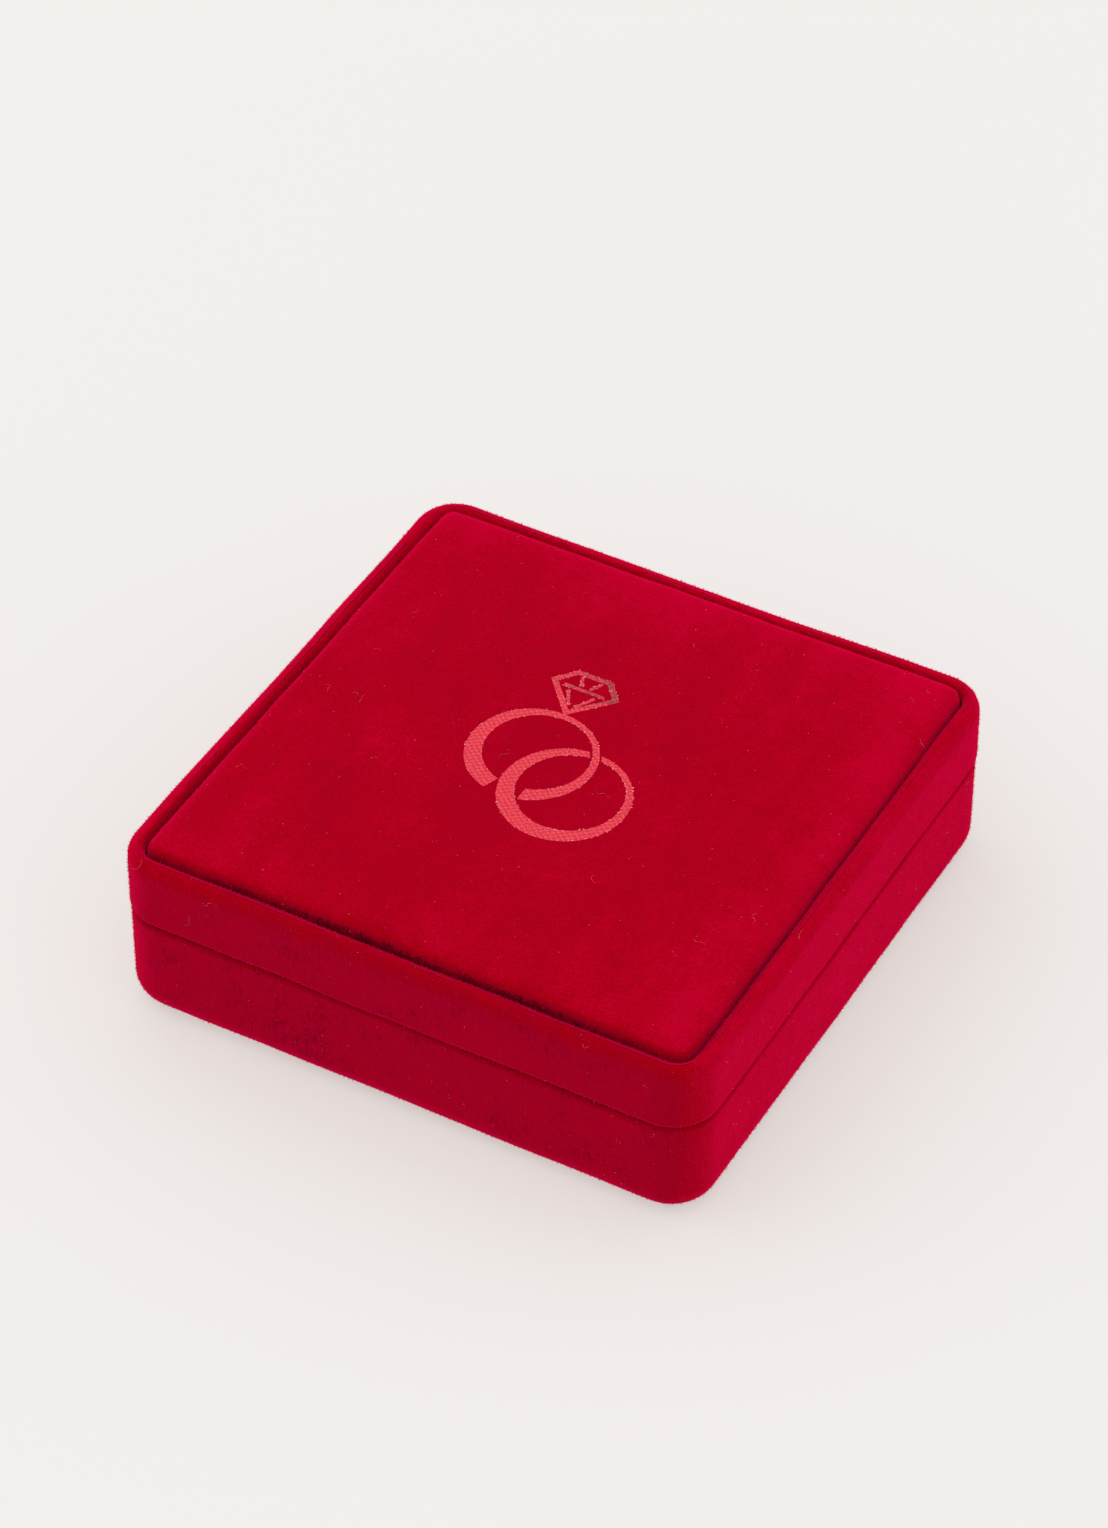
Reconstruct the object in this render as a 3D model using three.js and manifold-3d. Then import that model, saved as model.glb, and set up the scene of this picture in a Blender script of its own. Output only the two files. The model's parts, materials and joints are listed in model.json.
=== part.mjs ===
// A flat, square, velvet-covered ring box with a padded top panel and a hinged lid.
// Millimetres, +Z up, the front faces -Y. The origin is the middle of the underside.
import * as THREE from "three";
import { mergeVertices } from "three/addons/utils/BufferGeometryUtils.js";
import Module from "manifold-3d";

const wasm = await Module();
wasm.setup();

// ---- Driving dimensions ----

// The box outside, over the velvet.
const BOX_WIDTH = 100;
const BOX_DEPTH = 100;
const BASE_HEIGHT = 18.4;
const LID_HEIGHT = 11.5; // of the rim, from its lower edge to its top
const CORNER_RADIUS = 7.7;
const FOOT_RADIUS = 4.4; // where the base's walls turn under
const RIM_RADIUS = 2.2; // the rim's outer top edge
const LID_TIGHTENING = 1.45; // the lid's corner radius shrinks this much faster than its inset grows
const BASE_STEP = 0.2; // the base's walls stand in from the lid's
const SEAM_GAP = 0.3;
const OPEN_ANGLE = 95; // how far the lid turns, in degrees
const BEVEL_SPARE = 2.5; // degrees that each half is bevelled beyond half of the opening

// Sheet and board thicknesses.
const VELVET = 0.7;
const SATIN = 0.3;
const LID_WALL = 1.4;
const FLOOR = 1.3;
const WEB = 1.2; // the lid shell's ledge under the top panel
const LINING = 1;
const BOTTOM_PANEL = 0.9;
const CARD = 1;

// Turned edges of the covers.
const FOLD_RADIUS = 0.9; // where velvet folds over a wall's edge
const TURN_IN = 5.5; // down the inside of the base's wall
const TURN_CLEARANCE = 2; // from the lid cover's turned edge to the web
const TURN_UNDER = 7; // under the foot, from the outer face
const PANEL_TURN = 7.5; // under the top panel's board

// The padded top panel.
const GROOVE = 0.4; // round the panel, to the rim
const PANEL_PROUD = 1.2; // above the rim
const PANEL_FOAM = 1.2;
const PANEL_SHOULDER = 1.6;

// The pad inside the lid.
const LINING_BOARD = 0.8;
const WADDING = 0.6;

// The ring pad in the base.
const PAD_DROP = 4.4; // the pad's top, below the base's edge
const PAD_SHOULDER = 2;
const SLOT_LENGTH = 26;
const SLOT_WIDTH = 4.4;
const SLOT_SPACING = 36; // between the two slots' centres
const SLOT_CORNER = 0.4;

// The hinge.
const HINGE_LENGTH = 36;
const SIDE_KNUCKLE = 9;
const KNUCKLE_RADIUS = 1.4;
const PIN_RADIUS = 0.7;
const LEAF_THICKNESS = 0.5;
const LEAF_CLEARANCE = 1.45; // from the lid leaf's free edge to the web over it
const CAM_FLAT = 1.2; // from the axis to the flat that the spring snaps on to
const RIVET_SPACING = 24;
const RIVET_SHANK = 0.8; // radius
const RIVET_HEAD = 1.3; // radius
const HEAD_THICKNESS = 0.4;
const SPRING_WIDTH = 10;
const SPRING_THICKNESS = 0.3;
const SPRING_EDGE = 0.7; // from the base leaf's free edge to the spring's
const SPRING_RISE = 0.3; // above the axis

// The stamped ornament: a ring with a stone, linked with a plain ring.
const FOIL = 0.15;
const RING_RADIUS = 10.4;
const RING_STROKE = 1.9;
const RING_CENTRES = { stone: [-4.6, -0.6], plain: [4.2, -6.2] };
const STONE_WIDTH = 12;
const STONE_CROWN = 3.6;
const STONE_DEPTH = 6.8;
const STONE_STROKE = 1.1;
const STONE_MITRE = 2.4; // strokes that the slanted outline takes off the stone's width

// Clearances.
const GLUE_GAP = 0.2; // between a cover and what it is glued to
const FIT = 0.3; // round pieces that drop into place
const MOVING_GAP = 0.3; // round pieces that turn
const PIN_CLEARANCE = 0.08; // radial
const HOLE_CLEARANCE = 0.1; // radial, round rivets

// Fineness of curves.
const CORNER_STEPS = 6;
const EDGE_STEPS = 3;
const ROUND_STEPS = 18;
const RING_STEPS = 40;
const SHARP_RADIUS = 0.05; // the least corner radius of an inset outline
const CAP_OVERLAP = 2; // how far a plate runs into the frame round it
const TOOL_REACH = 1; // how far a cutting tool runs past what it cuts

// ---- Places that follow from the dimensions ----

// Insets are measured inwards from the lid's outer faces.
const skin = VELVET + GLUE_GAP;
const wallInner = skin + LID_WALL;
const stack = wallInner + GLUE_GAP + VELVET; // the full width of a covered wall
const leafOuter = wallInner + GLUE_GAP;
const leafInner = leafOuter + LEAF_THICKNESS;
const hingeInset = leafInner - KNUCKLE_RADIUS;
const liningOuter = Math.max(stack, leafInner + HEAD_THICKNESS) + GLUE_GAP;
const liningInner = liningOuter + LINING;
const padInset = liningInner + FIT;
const panelInset = stack + GROOVE;

// Heights in the base, from the table.
const coverFoot = BOTTOM_PANEL - VELVET; // the cover's turned edge stays off the table
const trayFoot = BOTTOM_PANEL + GLUE_GAP;
const trayFloor = trayFoot + FLOOR;
const trayTop = BASE_HEIGHT - skin;
const padTop = BASE_HEIGHT - PAD_DROP;
const boardTop = trayFloor + CARD;

// Heights in the lid, from its lower edge.
const panelTop = LID_HEIGHT + PANEL_PROUD;
const panelSeat = panelTop - (2 * skin + CARD + PANEL_FOAM);
const webFoot = panelSeat - WEB;
const liningFoot = webFoot - (LINING_BOARD + WADDING + GLUE_GAP + SATIN);
const lidTurnIn = webFoot - TURN_CLEARANCE;

// The hinge's axis runs along X through this point.
const axisY = BOX_DEPTH / 2 - hingeInset;
const axisZ = BASE_HEIGHT + SEAM_GAP / 2;
const axisInLid = -SEAM_GAP / 2;
const leafHeight = webFoot - LEAF_CLEARANCE - axisInLid;
// The rivets are centred on a leaf's flat, between the barrel's room and the free edge.
const rivetDrop = (KNUCKLE_RADIUS + MOVING_GAP + leafHeight) / 2;

// ---- Solids ----

// Turns a closed geometry into a solid that can be joined and cut.
function solidOf(geometry) {
  const bare = new THREE.BufferGeometry();
  bare.setAttribute("position", geometry.getAttribute("position").clone());
  bare.setIndex(geometry.getIndex());
  const merged = mergeVertices(bare, 1e-4);
  const mesh = new wasm.Mesh({
    numProp: 3,
    vertProperties: merged.getAttribute("position").array,
    triVerts: new Uint32Array(merged.getIndex().array),
  });
  return new wasm.Manifold(mesh);
}

// Turns a solid back into a geometry, with flat faces.
function geometryOf(solid) {
  const { vertProperties, triVerts } = solid.getMesh();
  const indexed = new THREE.BufferGeometry();
  indexed.setAttribute("position", new THREE.BufferAttribute(vertProperties, 3));
  indexed.setIndex(new THREE.BufferAttribute(triVerts, 1));
  const flat = indexed.toNonIndexed();
  flat.computeVertexNormals();
  return flat;
}

const joined = (solids) => solids.reduce((whole, next) => whole.add(next));
const cutBy = (solid, tools) => tools.reduce((left, tool) => left.subtract(tool), solid);

// A box between two opposite corners.
function block([x0, y0, z0], [x1, y1, z1]) {
  const box = new THREE.BoxGeometry(x1 - x0, y1 - y0, z1 - z0);
  box.translate((x0 + x1) / 2, (y0 + y1) / 2, (z0 + z1) / 2);
  return solidOf(box);
}

// A cylinder along X, centred on the axis Y = Z = 0.
function rod(radius, length, x = 0) {
  const cylinder = new THREE.CylinderGeometry(radius, radius, length, ROUND_STEPS);
  cylinder.rotateZ(Math.PI / 2);
  cylinder.translate(x, 0, 0);
  return solidOf(cylinder);
}

// A cylinder along Y from y0 to y1.
function post(radius, x, z, y0, y1) {
  const cylinder = new THREE.CylinderGeometry(radius, radius, y1 - y0, ROUND_STEPS);
  cylinder.translate(x, (y0 + y1) / 2, z);
  return solidOf(cylinder);
}

// The box's outline moved inwards: the corner arcs' radius and how far out their centres are.
// With a tightening above 1 the corners grow sharper inwards than a parallel outline would.
function outlineAt(inset, tightening = 1) {
  const radius = Math.max(CORNER_RADIUS - tightening * inset, SHARP_RADIUS);
  return {
    radius,
    centreX: BOX_WIDTH / 2 - inset - radius,
    centreY: BOX_DEPTH / 2 - inset - radius,
  };
}

// The rounded rectangle with its centre at (0, 0).
function roundedShape(centreX, centreY, radius) {
  const shape = new THREE.Shape();
  const quarter = Math.PI / 2;
  shape.absarc(centreX, centreY, radius, 0, quarter, false);
  shape.absarc(-centreX, centreY, radius, quarter, 2 * quarter, false);
  shape.absarc(-centreX, -centreY, radius, 2 * quarter, 3 * quarter, false);
  shape.absarc(centreX, -centreY, radius, 3 * quarter, 4 * quarter, false);
  return shape;
}

// A shape extruded upwards from one height to another.
function raised(shape, bottom, top, steps = CORNER_STEPS) {
  const settings = { depth: top - bottom, bevelEnabled: false, curveSegments: steps };
  return solidOf(new THREE.ExtrudeGeometry(shape, settings).translate(0, 0, bottom));
}

// A flat plate with the box's outline moved inwards.
function plate(inset, bottom, top, tightening = 1) {
  const { radius, centreX, centreY } = outlineAt(inset, tightening);
  return raised(roundedShape(centreX, centreY, radius), bottom, top);
}

// A closed profile of (inset, height) points carried round the box's outline.
// The lathe gives the ring of faces, and each column of its vertices goes to a step of a corner.
function frameOf(profile, tightening = 1) {
  const points = THREE.ShapeUtils.area(profile) > 0 ? [...profile].reverse() : [...profile];
  points.push(points[0]);
  const perCorner = CORNER_STEPS + 1;
  const columns = 4 * perCorner;
  const ring = new THREE.LatheGeometry(points, columns);
  const position = ring.getAttribute("position");
  for (let column = 0; column <= columns; column += 1) {
    const corner = Math.floor(column / perCorner) % 4;
    const angle = ((corner + (column % perCorner) / CORNER_STEPS) * Math.PI) / 2;
    const signX = corner === 0 || corner === 3 ? 1 : -1;
    const signY = corner < 2 ? 1 : -1;
    points.forEach((point, row) => {
      const { radius, centreX, centreY } = outlineAt(point.x, tightening);
      const x = signX * centreX + radius * Math.cos(angle);
      const y = signY * centreY + radius * Math.sin(angle);
      position.setXYZ(column * points.length + row, x, y, point.y);
    });
  }
  return solidOf(ring);
}

const at = (inset, height) => new THREE.Vector2(inset, height);

// Points on a quarter turn about a centre, from one angle to another, in degrees.
// Angle 0 points inwards (growing inset) and 90 points up.
function turn(inset, height, radius, from, to) {
  return Array.from({ length: EDGE_STEPS + 1 }, (_, step) => {
    const angle = THREE.MathUtils.degToRad(from + ((to - from) * step) / EDGE_STEPS);
    return at(inset + radius * Math.cos(angle), height + radius * Math.sin(angle));
  });
}

// A flat-topped pad with rounded upper edges: a frame with a plate in its middle.
function pad(inset, bottom, top, shoulder, tightening = 1) {
  const inner = inset + shoulder + CAP_OVERLAP;
  const profile = [
    at(inner, bottom),
    at(inset, bottom),
    ...turn(inset + shoulder, top - shoulder, shoulder, 180, 90),
    at(inner, top),
  ];
  const middle = plate(inner - CAP_OVERLAP / 2, bottom, top, tightening);
  return frameOf(profile, tightening).add(middle);
}

// ---- Cuts that let the hinge in and the lid swing ----

// The tools for the back wall of the base (side -1, below the axis) or the lid (side 1).
function hingeCuts(height, side) {
  const back = BOX_DEPTH / 2;
  const halfLength = HINGE_LENGTH / 2 + FIT;
  const barrel = KNUCKLE_RADIUS + MOVING_GAP;
  const notch = block(
    [-halfLength, back - liningOuter, height - barrel],
    [halfLength, back + TOOL_REACH, height + barrel],
  );
  const reach = side * (leafHeight + FIT);
  const leafPocket = block(
    [-halfLength, back - liningOuter, height + Math.min(0, reach)],
    [halfLength, back - leafOuter + GLUE_GAP / 2, height + Math.max(0, reach)],
  );
  return [notch, leafPocket, bevel(height)];
}

// A wedge along the whole back with its point just inside the hinge's axis.
// Each half opens by a little more than half of the lid's travel, so the two edges never meet.
function bevel(height) {
  const half = THREE.MathUtils.degToRad(OPEN_ANGLE / 2 + BEVEL_SPARE);
  const point = axisY - MOVING_GAP;
  const outer = BOX_DEPTH / 2 + TOOL_REACH;
  const rise = (outer - point) * Math.tan(half);
  const triangle = new THREE.Shape([
    new THREE.Vector2(point, height),
    new THREE.Vector2(outer, height - rise),
    new THREE.Vector2(outer, height + rise),
  ]);
  const length = BOX_WIDTH + 2 * TOOL_REACH;
  const wedge = new THREE.ExtrudeGeometry(triangle, { depth: length, bevelEnabled: false });
  const alongY = new THREE.Vector3(0, 1, 0);
  const alongZ = new THREE.Vector3(0, 0, 1);
  const alongX = new THREE.Vector3(1, 0, 0);
  wedge.applyMatrix4(new THREE.Matrix4().makeBasis(alongY, alongZ, alongX));
  return solidOf(wedge.translate(-length / 2, 0, 0));
}

// Holes for the rivets through a back wall, sunk for the outer heads.
function rivetHoles(height, wallOuter) {
  const back = BOX_DEPTH / 2;
  const sink = back - wallOuter - HEAD_THICKNESS - HOLE_CLEARANCE;
  return rivetPlaces().flatMap((x) => [
    post(RIVET_SHANK + HOLE_CLEARANCE, x, height, back - leafOuter, back),
    post(RIVET_HEAD + HOLE_CLEARANCE, x, height, sink, back),
  ]);
}

const rivetPlaces = () => [-RIVET_SPACING / 2, RIVET_SPACING / 2];

// ---- The base ----

function baseShell() {
  const outer = BASE_STEP + skin;
  const radius = FOOT_RADIUS - skin;
  const inner = FOOT_RADIUS + CAP_OVERLAP + BASE_STEP;
  const fillet = FOLD_RADIUS;
  const profile = [
    at(inner, trayFoot),
    ...turn(outer + radius, trayFoot + radius, radius, 270, 180),
    at(outer, trayTop),
    at(wallInner, trayTop),
    ...turn(wallInner + fillet, trayFloor + fillet, fillet, 180, 270),
    at(inner, trayFloor),
  ];
  const floor = plate(inner - CAP_OVERLAP / 2, trayFoot, trayFloor);
  const cuts = [...hingeCuts(axisZ, -1), ...rivetHoles(axisZ - rivetDrop, outer)];
  return cutBy(frameOf(profile).add(floor), cuts);
}

// Velvet round the foot, up the wall, over its edge and down inside.
function baseCover() {
  const outer = BASE_STEP;
  const inside = stack - VELVET;
  const fold = FOLD_RADIUS;
  const thin = fold - VELVET;
  const foot = FOOT_RADIUS;
  const profile = [
    at(TURN_UNDER, coverFoot),
    ...turn(outer + foot, coverFoot + foot, foot, 270, 180),
    ...turn(outer + fold, BASE_HEIGHT - fold, fold, 180, 90),
    ...turn(stack - fold, BASE_HEIGHT - fold, fold, 90, 0),
    at(stack, BASE_HEIGHT - TURN_IN),
    at(inside, BASE_HEIGHT - TURN_IN),
    ...turn(stack - fold, BASE_HEIGHT - fold, thin, 0, 90),
    ...turn(outer + fold, BASE_HEIGHT - fold, thin, 90, 180),
    ...turn(outer + foot, coverFoot + foot, foot - VELVET, 180, 270),
    at(TURN_UNDER, coverFoot + VELVET),
  ];
  return cutBy(frameOf(profile), hingeCuts(axisZ, -1));
}

const bottomPanel = () => plate(TURN_UNDER + FIT, 0, BOTTOM_PANEL);

// A card strip round the inside of the walls, with a rounded free edge.
function wallLining(bottom, top, thickness, roundUp) {
  const radius = thickness / 2;
  const middle = liningOuter + radius;
  const edge = roundUp ? top - radius : bottom + radius;
  const arc = roundUp ? turn(middle, edge, radius, 0, 180) : turn(middle, edge, radius, 180, 360);
  const flat = roundUp ? bottom : top;
  const first = arc[0];
  const last = arc[arc.length - 1];
  return frameOf([at(first.x, flat), ...arc, at(last.x, flat)]);
}

const baseLining = () => wallLining(trayFloor, BASE_HEIGHT - SEAM_GAP, LINING, true);

// The two ring slots, widened by a margin, between two heights.
function slots(margin, bottom, top) {
  return [-SLOT_SPACING / 2, SLOT_SPACING / 2].map((x) => {
    const radius = SLOT_CORNER + margin;
    const centreX = SLOT_LENGTH / 2 + margin - radius;
    const centreY = SLOT_WIDTH / 2 + margin - radius;
    const slot = raised(roundedShape(centreX, centreY, radius), bottom, top, EDGE_STEPS);
    return slot.translate([x, 0, 0]);
  });
}

const padBoard = () => plate(padInset + skin, trayFloor, boardTop);

function padFoam() {
  const block = pad(padInset + skin, boardTop, padTop - skin, PAD_SHOULDER - skin);
  return cutBy(block, slots(skin, boardTop - TOOL_REACH, padTop));
}

// Velvet over the foam and down into the slots, as far as the board.
function padCover() {
  const outside = pad(padInset, trayFloor, padTop, PAD_SHOULDER);
  const hollowTop = padTop - VELVET;
  const hollow = pad(padInset + VELVET, trayFloor - TOOL_REACH, hollowTop, PAD_SHOULDER - VELVET);
  const pockets = slots(VELVET, boardTop + GLUE_GAP, hollowTop + VELVET / 2);
  const skinAndPockets = joined([cutBy(outside, [hollow]), ...pockets]);
  return cutBy(skinAndPockets, slots(0, trayFloor, padTop + TOOL_REACH));
}

// ---- The lid, from its lower edge up ----

function lidShell() {
  const inner = wallInner + 2 * CAP_OVERLAP;
  const chamfer = Math.max(RIM_RADIUS - skin, SHARP_RADIUS);
  const profile = [
    at(skin, skin),
    at(skin, LID_HEIGHT - skin - chamfer),
    at(skin + chamfer, LID_HEIGHT - skin),
    at(wallInner, LID_HEIGHT - skin),
    at(wallInner, panelSeat),
    at(inner, panelSeat),
    at(inner, webFoot),
    at(wallInner, webFoot),
    at(wallInner, skin),
  ];
  const web = plate(inner - CAP_OVERLAP / 2, webFoot, panelSeat, LID_TIGHTENING);
  const cuts = [...hingeCuts(axisInLid, 1), ...rivetHoles(axisInLid + rivetDrop, skin)];
  return cutBy(frameOf(profile, LID_TIGHTENING).add(web), cuts);
}

// Velvet from inside the rim, round its lower edge, up, over its top and down to the panel's seat.
function lidCover() {
  const inside = stack - VELVET;
  const fold = FOLD_RADIUS;
  const thin = fold - VELVET;
  const profile = [
    at(stack, lidTurnIn),
    ...turn(stack - fold, fold, fold, 360, 270),
    ...turn(fold, fold, fold, 270, 180),
    ...turn(RIM_RADIUS, LID_HEIGHT - RIM_RADIUS, RIM_RADIUS, 180, 90),
    ...turn(stack - fold, LID_HEIGHT - fold, fold, 90, 0),
    at(stack, panelSeat + GLUE_GAP),
    at(inside, panelSeat + GLUE_GAP),
    ...turn(stack - fold, LID_HEIGHT - fold, thin, 0, 90),
    ...turn(RIM_RADIUS, LID_HEIGHT - RIM_RADIUS, RIM_RADIUS - VELVET, 90, 180),
    ...turn(fold, fold, thin, 180, 270),
    ...turn(stack - fold, fold, thin, 270, 360),
    at(inside, lidTurnIn),
  ];
  return cutBy(frameOf(profile, LID_TIGHTENING), hingeCuts(axisInLid, 1));
}

function panelBoard() {
  const bottom = panelSeat + skin;
  return plate(panelInset + skin, bottom, bottom + CARD, LID_TIGHTENING);
}

function panelFoam() {
  const bottom = panelSeat + skin + CARD;
  const shoulder = Math.min(PANEL_SHOULDER - skin, PANEL_FOAM / 2);
  return pad(panelInset + skin, bottom, bottom + PANEL_FOAM, shoulder, LID_TIGHTENING);
}

// Velvet over the foam and board, turned under the board's edge.
function panelCover() {
  const outside = pad(panelInset, panelSeat, panelTop, PANEL_SHOULDER, LID_TIGHTENING);
  const hollowFoot = panelSeat + VELVET;
  const hollowTop = panelTop - VELVET;
  const shoulder = PANEL_SHOULDER - VELVET;
  const hollow = pad(panelInset + VELVET, hollowFoot, hollowTop, shoulder, LID_TIGHTENING);
  const opening = plate(panelInset + PANEL_TURN, panelSeat - TOOL_REACH, hollowFoot + TOOL_REACH);
  return cutBy(outside, [hollow, opening]);
}

const lidWallLining = () => wallLining(SEAM_GAP, webFoot - GLUE_GAP, LINING, false);
const liningBoard = () => plate(padInset + SATIN + GLUE_GAP, webFoot - LINING_BOARD, webFoot);

function liningWadding() {
  const top = webFoot - LINING_BOARD;
  return plate(padInset + SATIN + GLUE_GAP, top - WADDING, top);
}

// A shallow satin tray round the wadding and board, open towards the web.
function liningCover() {
  const outside = plate(padInset, liningFoot, webFoot - GLUE_GAP);
  const hollow = plate(padInset + SATIN, liningFoot + SATIN, webFoot + TOOL_REACH);
  return cutBy(outside, [hollow]);
}

// ---- The ornament ----

// A round band whose stroke swells to its lower side, because its hole is set a little high.
function band([x, y]) {
  const shape = new THREE.Shape();
  shape.absarc(x, y, RING_RADIUS, 0, 2 * Math.PI, false);
  const hole = new THREE.Path();
  const swell = RING_STROKE / 4;
  hole.absarc(x, y + swell, RING_RADIUS - RING_STROKE, 0, 2 * Math.PI, true);
  shape.holes.push(hole);
  return raised(shape, 0, FOIL, RING_STEPS / 2);
}

// A cut stone seen from the side, standing with its point on (x, y), scaled about its own middle.
function stoneShape(x, y, scale) {
  const half = (STONE_WIDTH / 2) * scale;
  const table = (STONE_WIDTH / 4) * scale;
  const middle = y + STONE_DEPTH;
  return [
    new THREE.Vector2(x, middle - STONE_DEPTH * scale),
    new THREE.Vector2(x + half, middle),
    new THREE.Vector2(x + table, middle + STONE_CROWN * scale),
    new THREE.Vector2(x - table, middle + STONE_CROWN * scale),
    new THREE.Vector2(x - half, middle),
  ];
}

// The stone's outline, with the girdle line across it.
function stone() {
  const [x, ringY] = RING_CENTRES.stone;
  const y = ringY + RING_RADIUS - RING_STROKE / 2;
  const scale = 1 - (STONE_MITRE * STONE_STROKE) / STONE_WIDTH;
  const shape = new THREE.Shape(stoneShape(x, y, 1));
  shape.holes.push(new THREE.Path(stoneShape(x, y, scale)));
  const girdle = y + STONE_DEPTH;
  const half = (STONE_WIDTH * scale) / 2;
  const line = block([x - half, girdle - STONE_STROKE / 2, 0], [x + half, girdle, FOIL]);
  return raised(shape, 0, FOIL).add(line);
}

const emblem = () => joined([...Object.values(RING_CENTRES).map(band), stone()]);

// ---- The hinge, about its own axis, with -Y pointing into the box ----

const middleKnuckle = HINGE_LENGTH - 2 * SIDE_KNUCKLE;
const sideKnuckleX = (HINGE_LENGTH - SIDE_KNUCKLE) / 2;

// A leaf's flat part between two heights, with its rivet holes.
function leafPlate(bottom, top, rivetHeight) {
  const flat = block(
    [-HINGE_LENGTH / 2, -KNUCKLE_RADIUS, bottom],
    [HINGE_LENGTH / 2, LEAF_THICKNESS - KNUCKLE_RADIUS, top],
  );
  const radius = RIVET_SHANK + HOLE_CLEARANCE;
  const holes = rivetPlaces().map((x) =>
    post(radius, x, rivetHeight, -KNUCKLE_RADIUS - TOOL_REACH, TOOL_REACH),
  );
  return cutBy(flat, holes);
}

const pinBore = () => rod(PIN_RADIUS + PIN_CLEARANCE, HINGE_LENGTH + TOOL_REACH);

// Two knuckles at the ends, and room for the lid's knuckle between them.
function hingeBaseLeaf() {
  const room = rod(KNUCKLE_RADIUS + MOVING_GAP, middleKnuckle);
  const flat = cutBy(leafPlate(-leafHeight, 0, -rivetDrop), [room]);
  const knuckles = [-1, 1].map((side) =>
    rod(KNUCKLE_RADIUS, SIDE_KNUCKLE, side * sideKnuckleX),
  );
  return cutBy(joined([flat, ...knuckles]), [pinBore()]);
}

// One knuckle in the middle, with the flat that the spring snaps on to when the lid is open.
function hingeLidLeaf() {
  const knuckleLength = middleKnuckle - 2 * MOVING_GAP;
  const sideRoom = SIDE_KNUCKLE + MOVING_GAP + TOOL_REACH;
  const roomX = (knuckleLength + sideRoom) / 2;
  const rooms = [-1, 1].map((side) =>
    rod(KNUCKLE_RADIUS + MOVING_GAP, sideRoom, side * roomX),
  );
  const flat = cutBy(leafPlate(0, leafHeight, rivetDrop), rooms);
  const half = HINGE_LENGTH / 2;
  const below = block(
    [-half, -KNUCKLE_RADIUS - TOOL_REACH, -KNUCKLE_RADIUS - TOOL_REACH],
    [half, KNUCKLE_RADIUS + TOOL_REACH, -CAM_FLAT],
  );
  return cutBy(flat.add(rod(KNUCKLE_RADIUS, knuckleLength)), [pinBore(), below]);
}

const hingePin = () => rod(PIN_RADIUS, HINGE_LENGTH);

// A flat strip that presses on the lid's knuckle from inside the box.
function hingeSpring() {
  const outer = -KNUCKLE_RADIUS - HOLE_CLEARANCE;
  return block(
    [-SPRING_WIDTH / 2, outer - SPRING_THICKNESS, SPRING_EDGE - leafHeight],
    [SPRING_WIDTH / 2, outer, SPRING_RISE],
  );
}

// A rivet along Y, from the head on the leaf to the sunk head in the wall.
function rivet(wallOuter) {
  const innerEnd = -KNUCKLE_RADIUS - HEAD_THICKNESS;
  const outerEnd = hingeInset - wallOuter - HOLE_CLEARANCE / 2;
  const profile = [
    new THREE.Vector2(0, innerEnd),
    new THREE.Vector2(RIVET_HEAD, innerEnd),
    new THREE.Vector2(RIVET_HEAD, -KNUCKLE_RADIUS),
    new THREE.Vector2(RIVET_SHANK, -KNUCKLE_RADIUS),
    new THREE.Vector2(RIVET_SHANK, outerEnd - HEAD_THICKNESS),
    new THREE.Vector2(RIVET_HEAD, outerEnd - HEAD_THICKNESS),
    new THREE.Vector2(RIVET_HEAD, outerEnd),
    new THREE.Vector2(0, outerEnd),
  ];
  return solidOf(new THREE.LatheGeometry(profile, ROUND_STEPS));
}

// ---- Assembly ----

const FINISHES = {
  velvet: { color: 0xad011f, roughness: 0.95, metalness: 0 },
  lining_velvet: { color: 0x9b0220, roughness: 0.95, metalness: 0 },
  satin: { color: 0xb3122e, roughness: 0.4, metalness: 0 },
  plastic: { color: 0x1c1a1b, roughness: 0.5, metalness: 0 },
  card: { color: 0x8f8577, roughness: 0.9, metalness: 0 },
  underside: { color: 0x6e0a1a, roughness: 0.9, metalness: 0 },
  foam: { color: 0xd9d4c8, roughness: 1, metalness: 0 },
  foil: { color: 0xe54655, roughness: 0.3, metalness: 0.8 },
  steel: { color: 0xb9b6ae, roughness: 0.3, metalness: 1 },
};

// A named mesh of a solid with its own material.
function piece(name, solid, finish) {
  const mesh = new THREE.Mesh(geometryOf(solid), new THREE.MeshStandardMaterial(FINISHES[finish]));
  mesh.name = name;
  return mesh;
}

function baseGroup() {
  return new THREE.Group().add(
    piece("base_shell", baseShell(), "plastic"),
    piece("base_cover", baseCover(), "velvet"),
    piece("bottom_panel", bottomPanel(), "underside"),
    piece("base_lining", baseLining(), "lining_velvet"),
    piece("pad_board", padBoard(), "card"),
    piece("pad_foam", padFoam(), "foam"),
    piece("pad_cover", padCover(), "lining_velvet"),
  );
}

function lidGroup() {
  const ornament = piece("emblem", emblem(), "foil");
  ornament.position.z = panelTop;
  const lid = new THREE.Group().add(
    piece("lid_shell", lidShell(), "plastic"),
    piece("lid_cover", lidCover(), "velvet"),
    piece("panel_board", panelBoard(), "card"),
    piece("panel_foam", panelFoam(), "foam"),
    piece("panel_cover", panelCover(), "velvet"),
    ornament,
    piece("lid_wall_lining", lidWallLining(), "satin"),
    piece("lining_board", liningBoard(), "card"),
    piece("lining_wadding", liningWadding(), "foam"),
    piece("lining_cover", liningCover(), "satin"),
  );
  lid.position.z = BASE_HEIGHT + SEAM_GAP;
  return lid;
}

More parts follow.
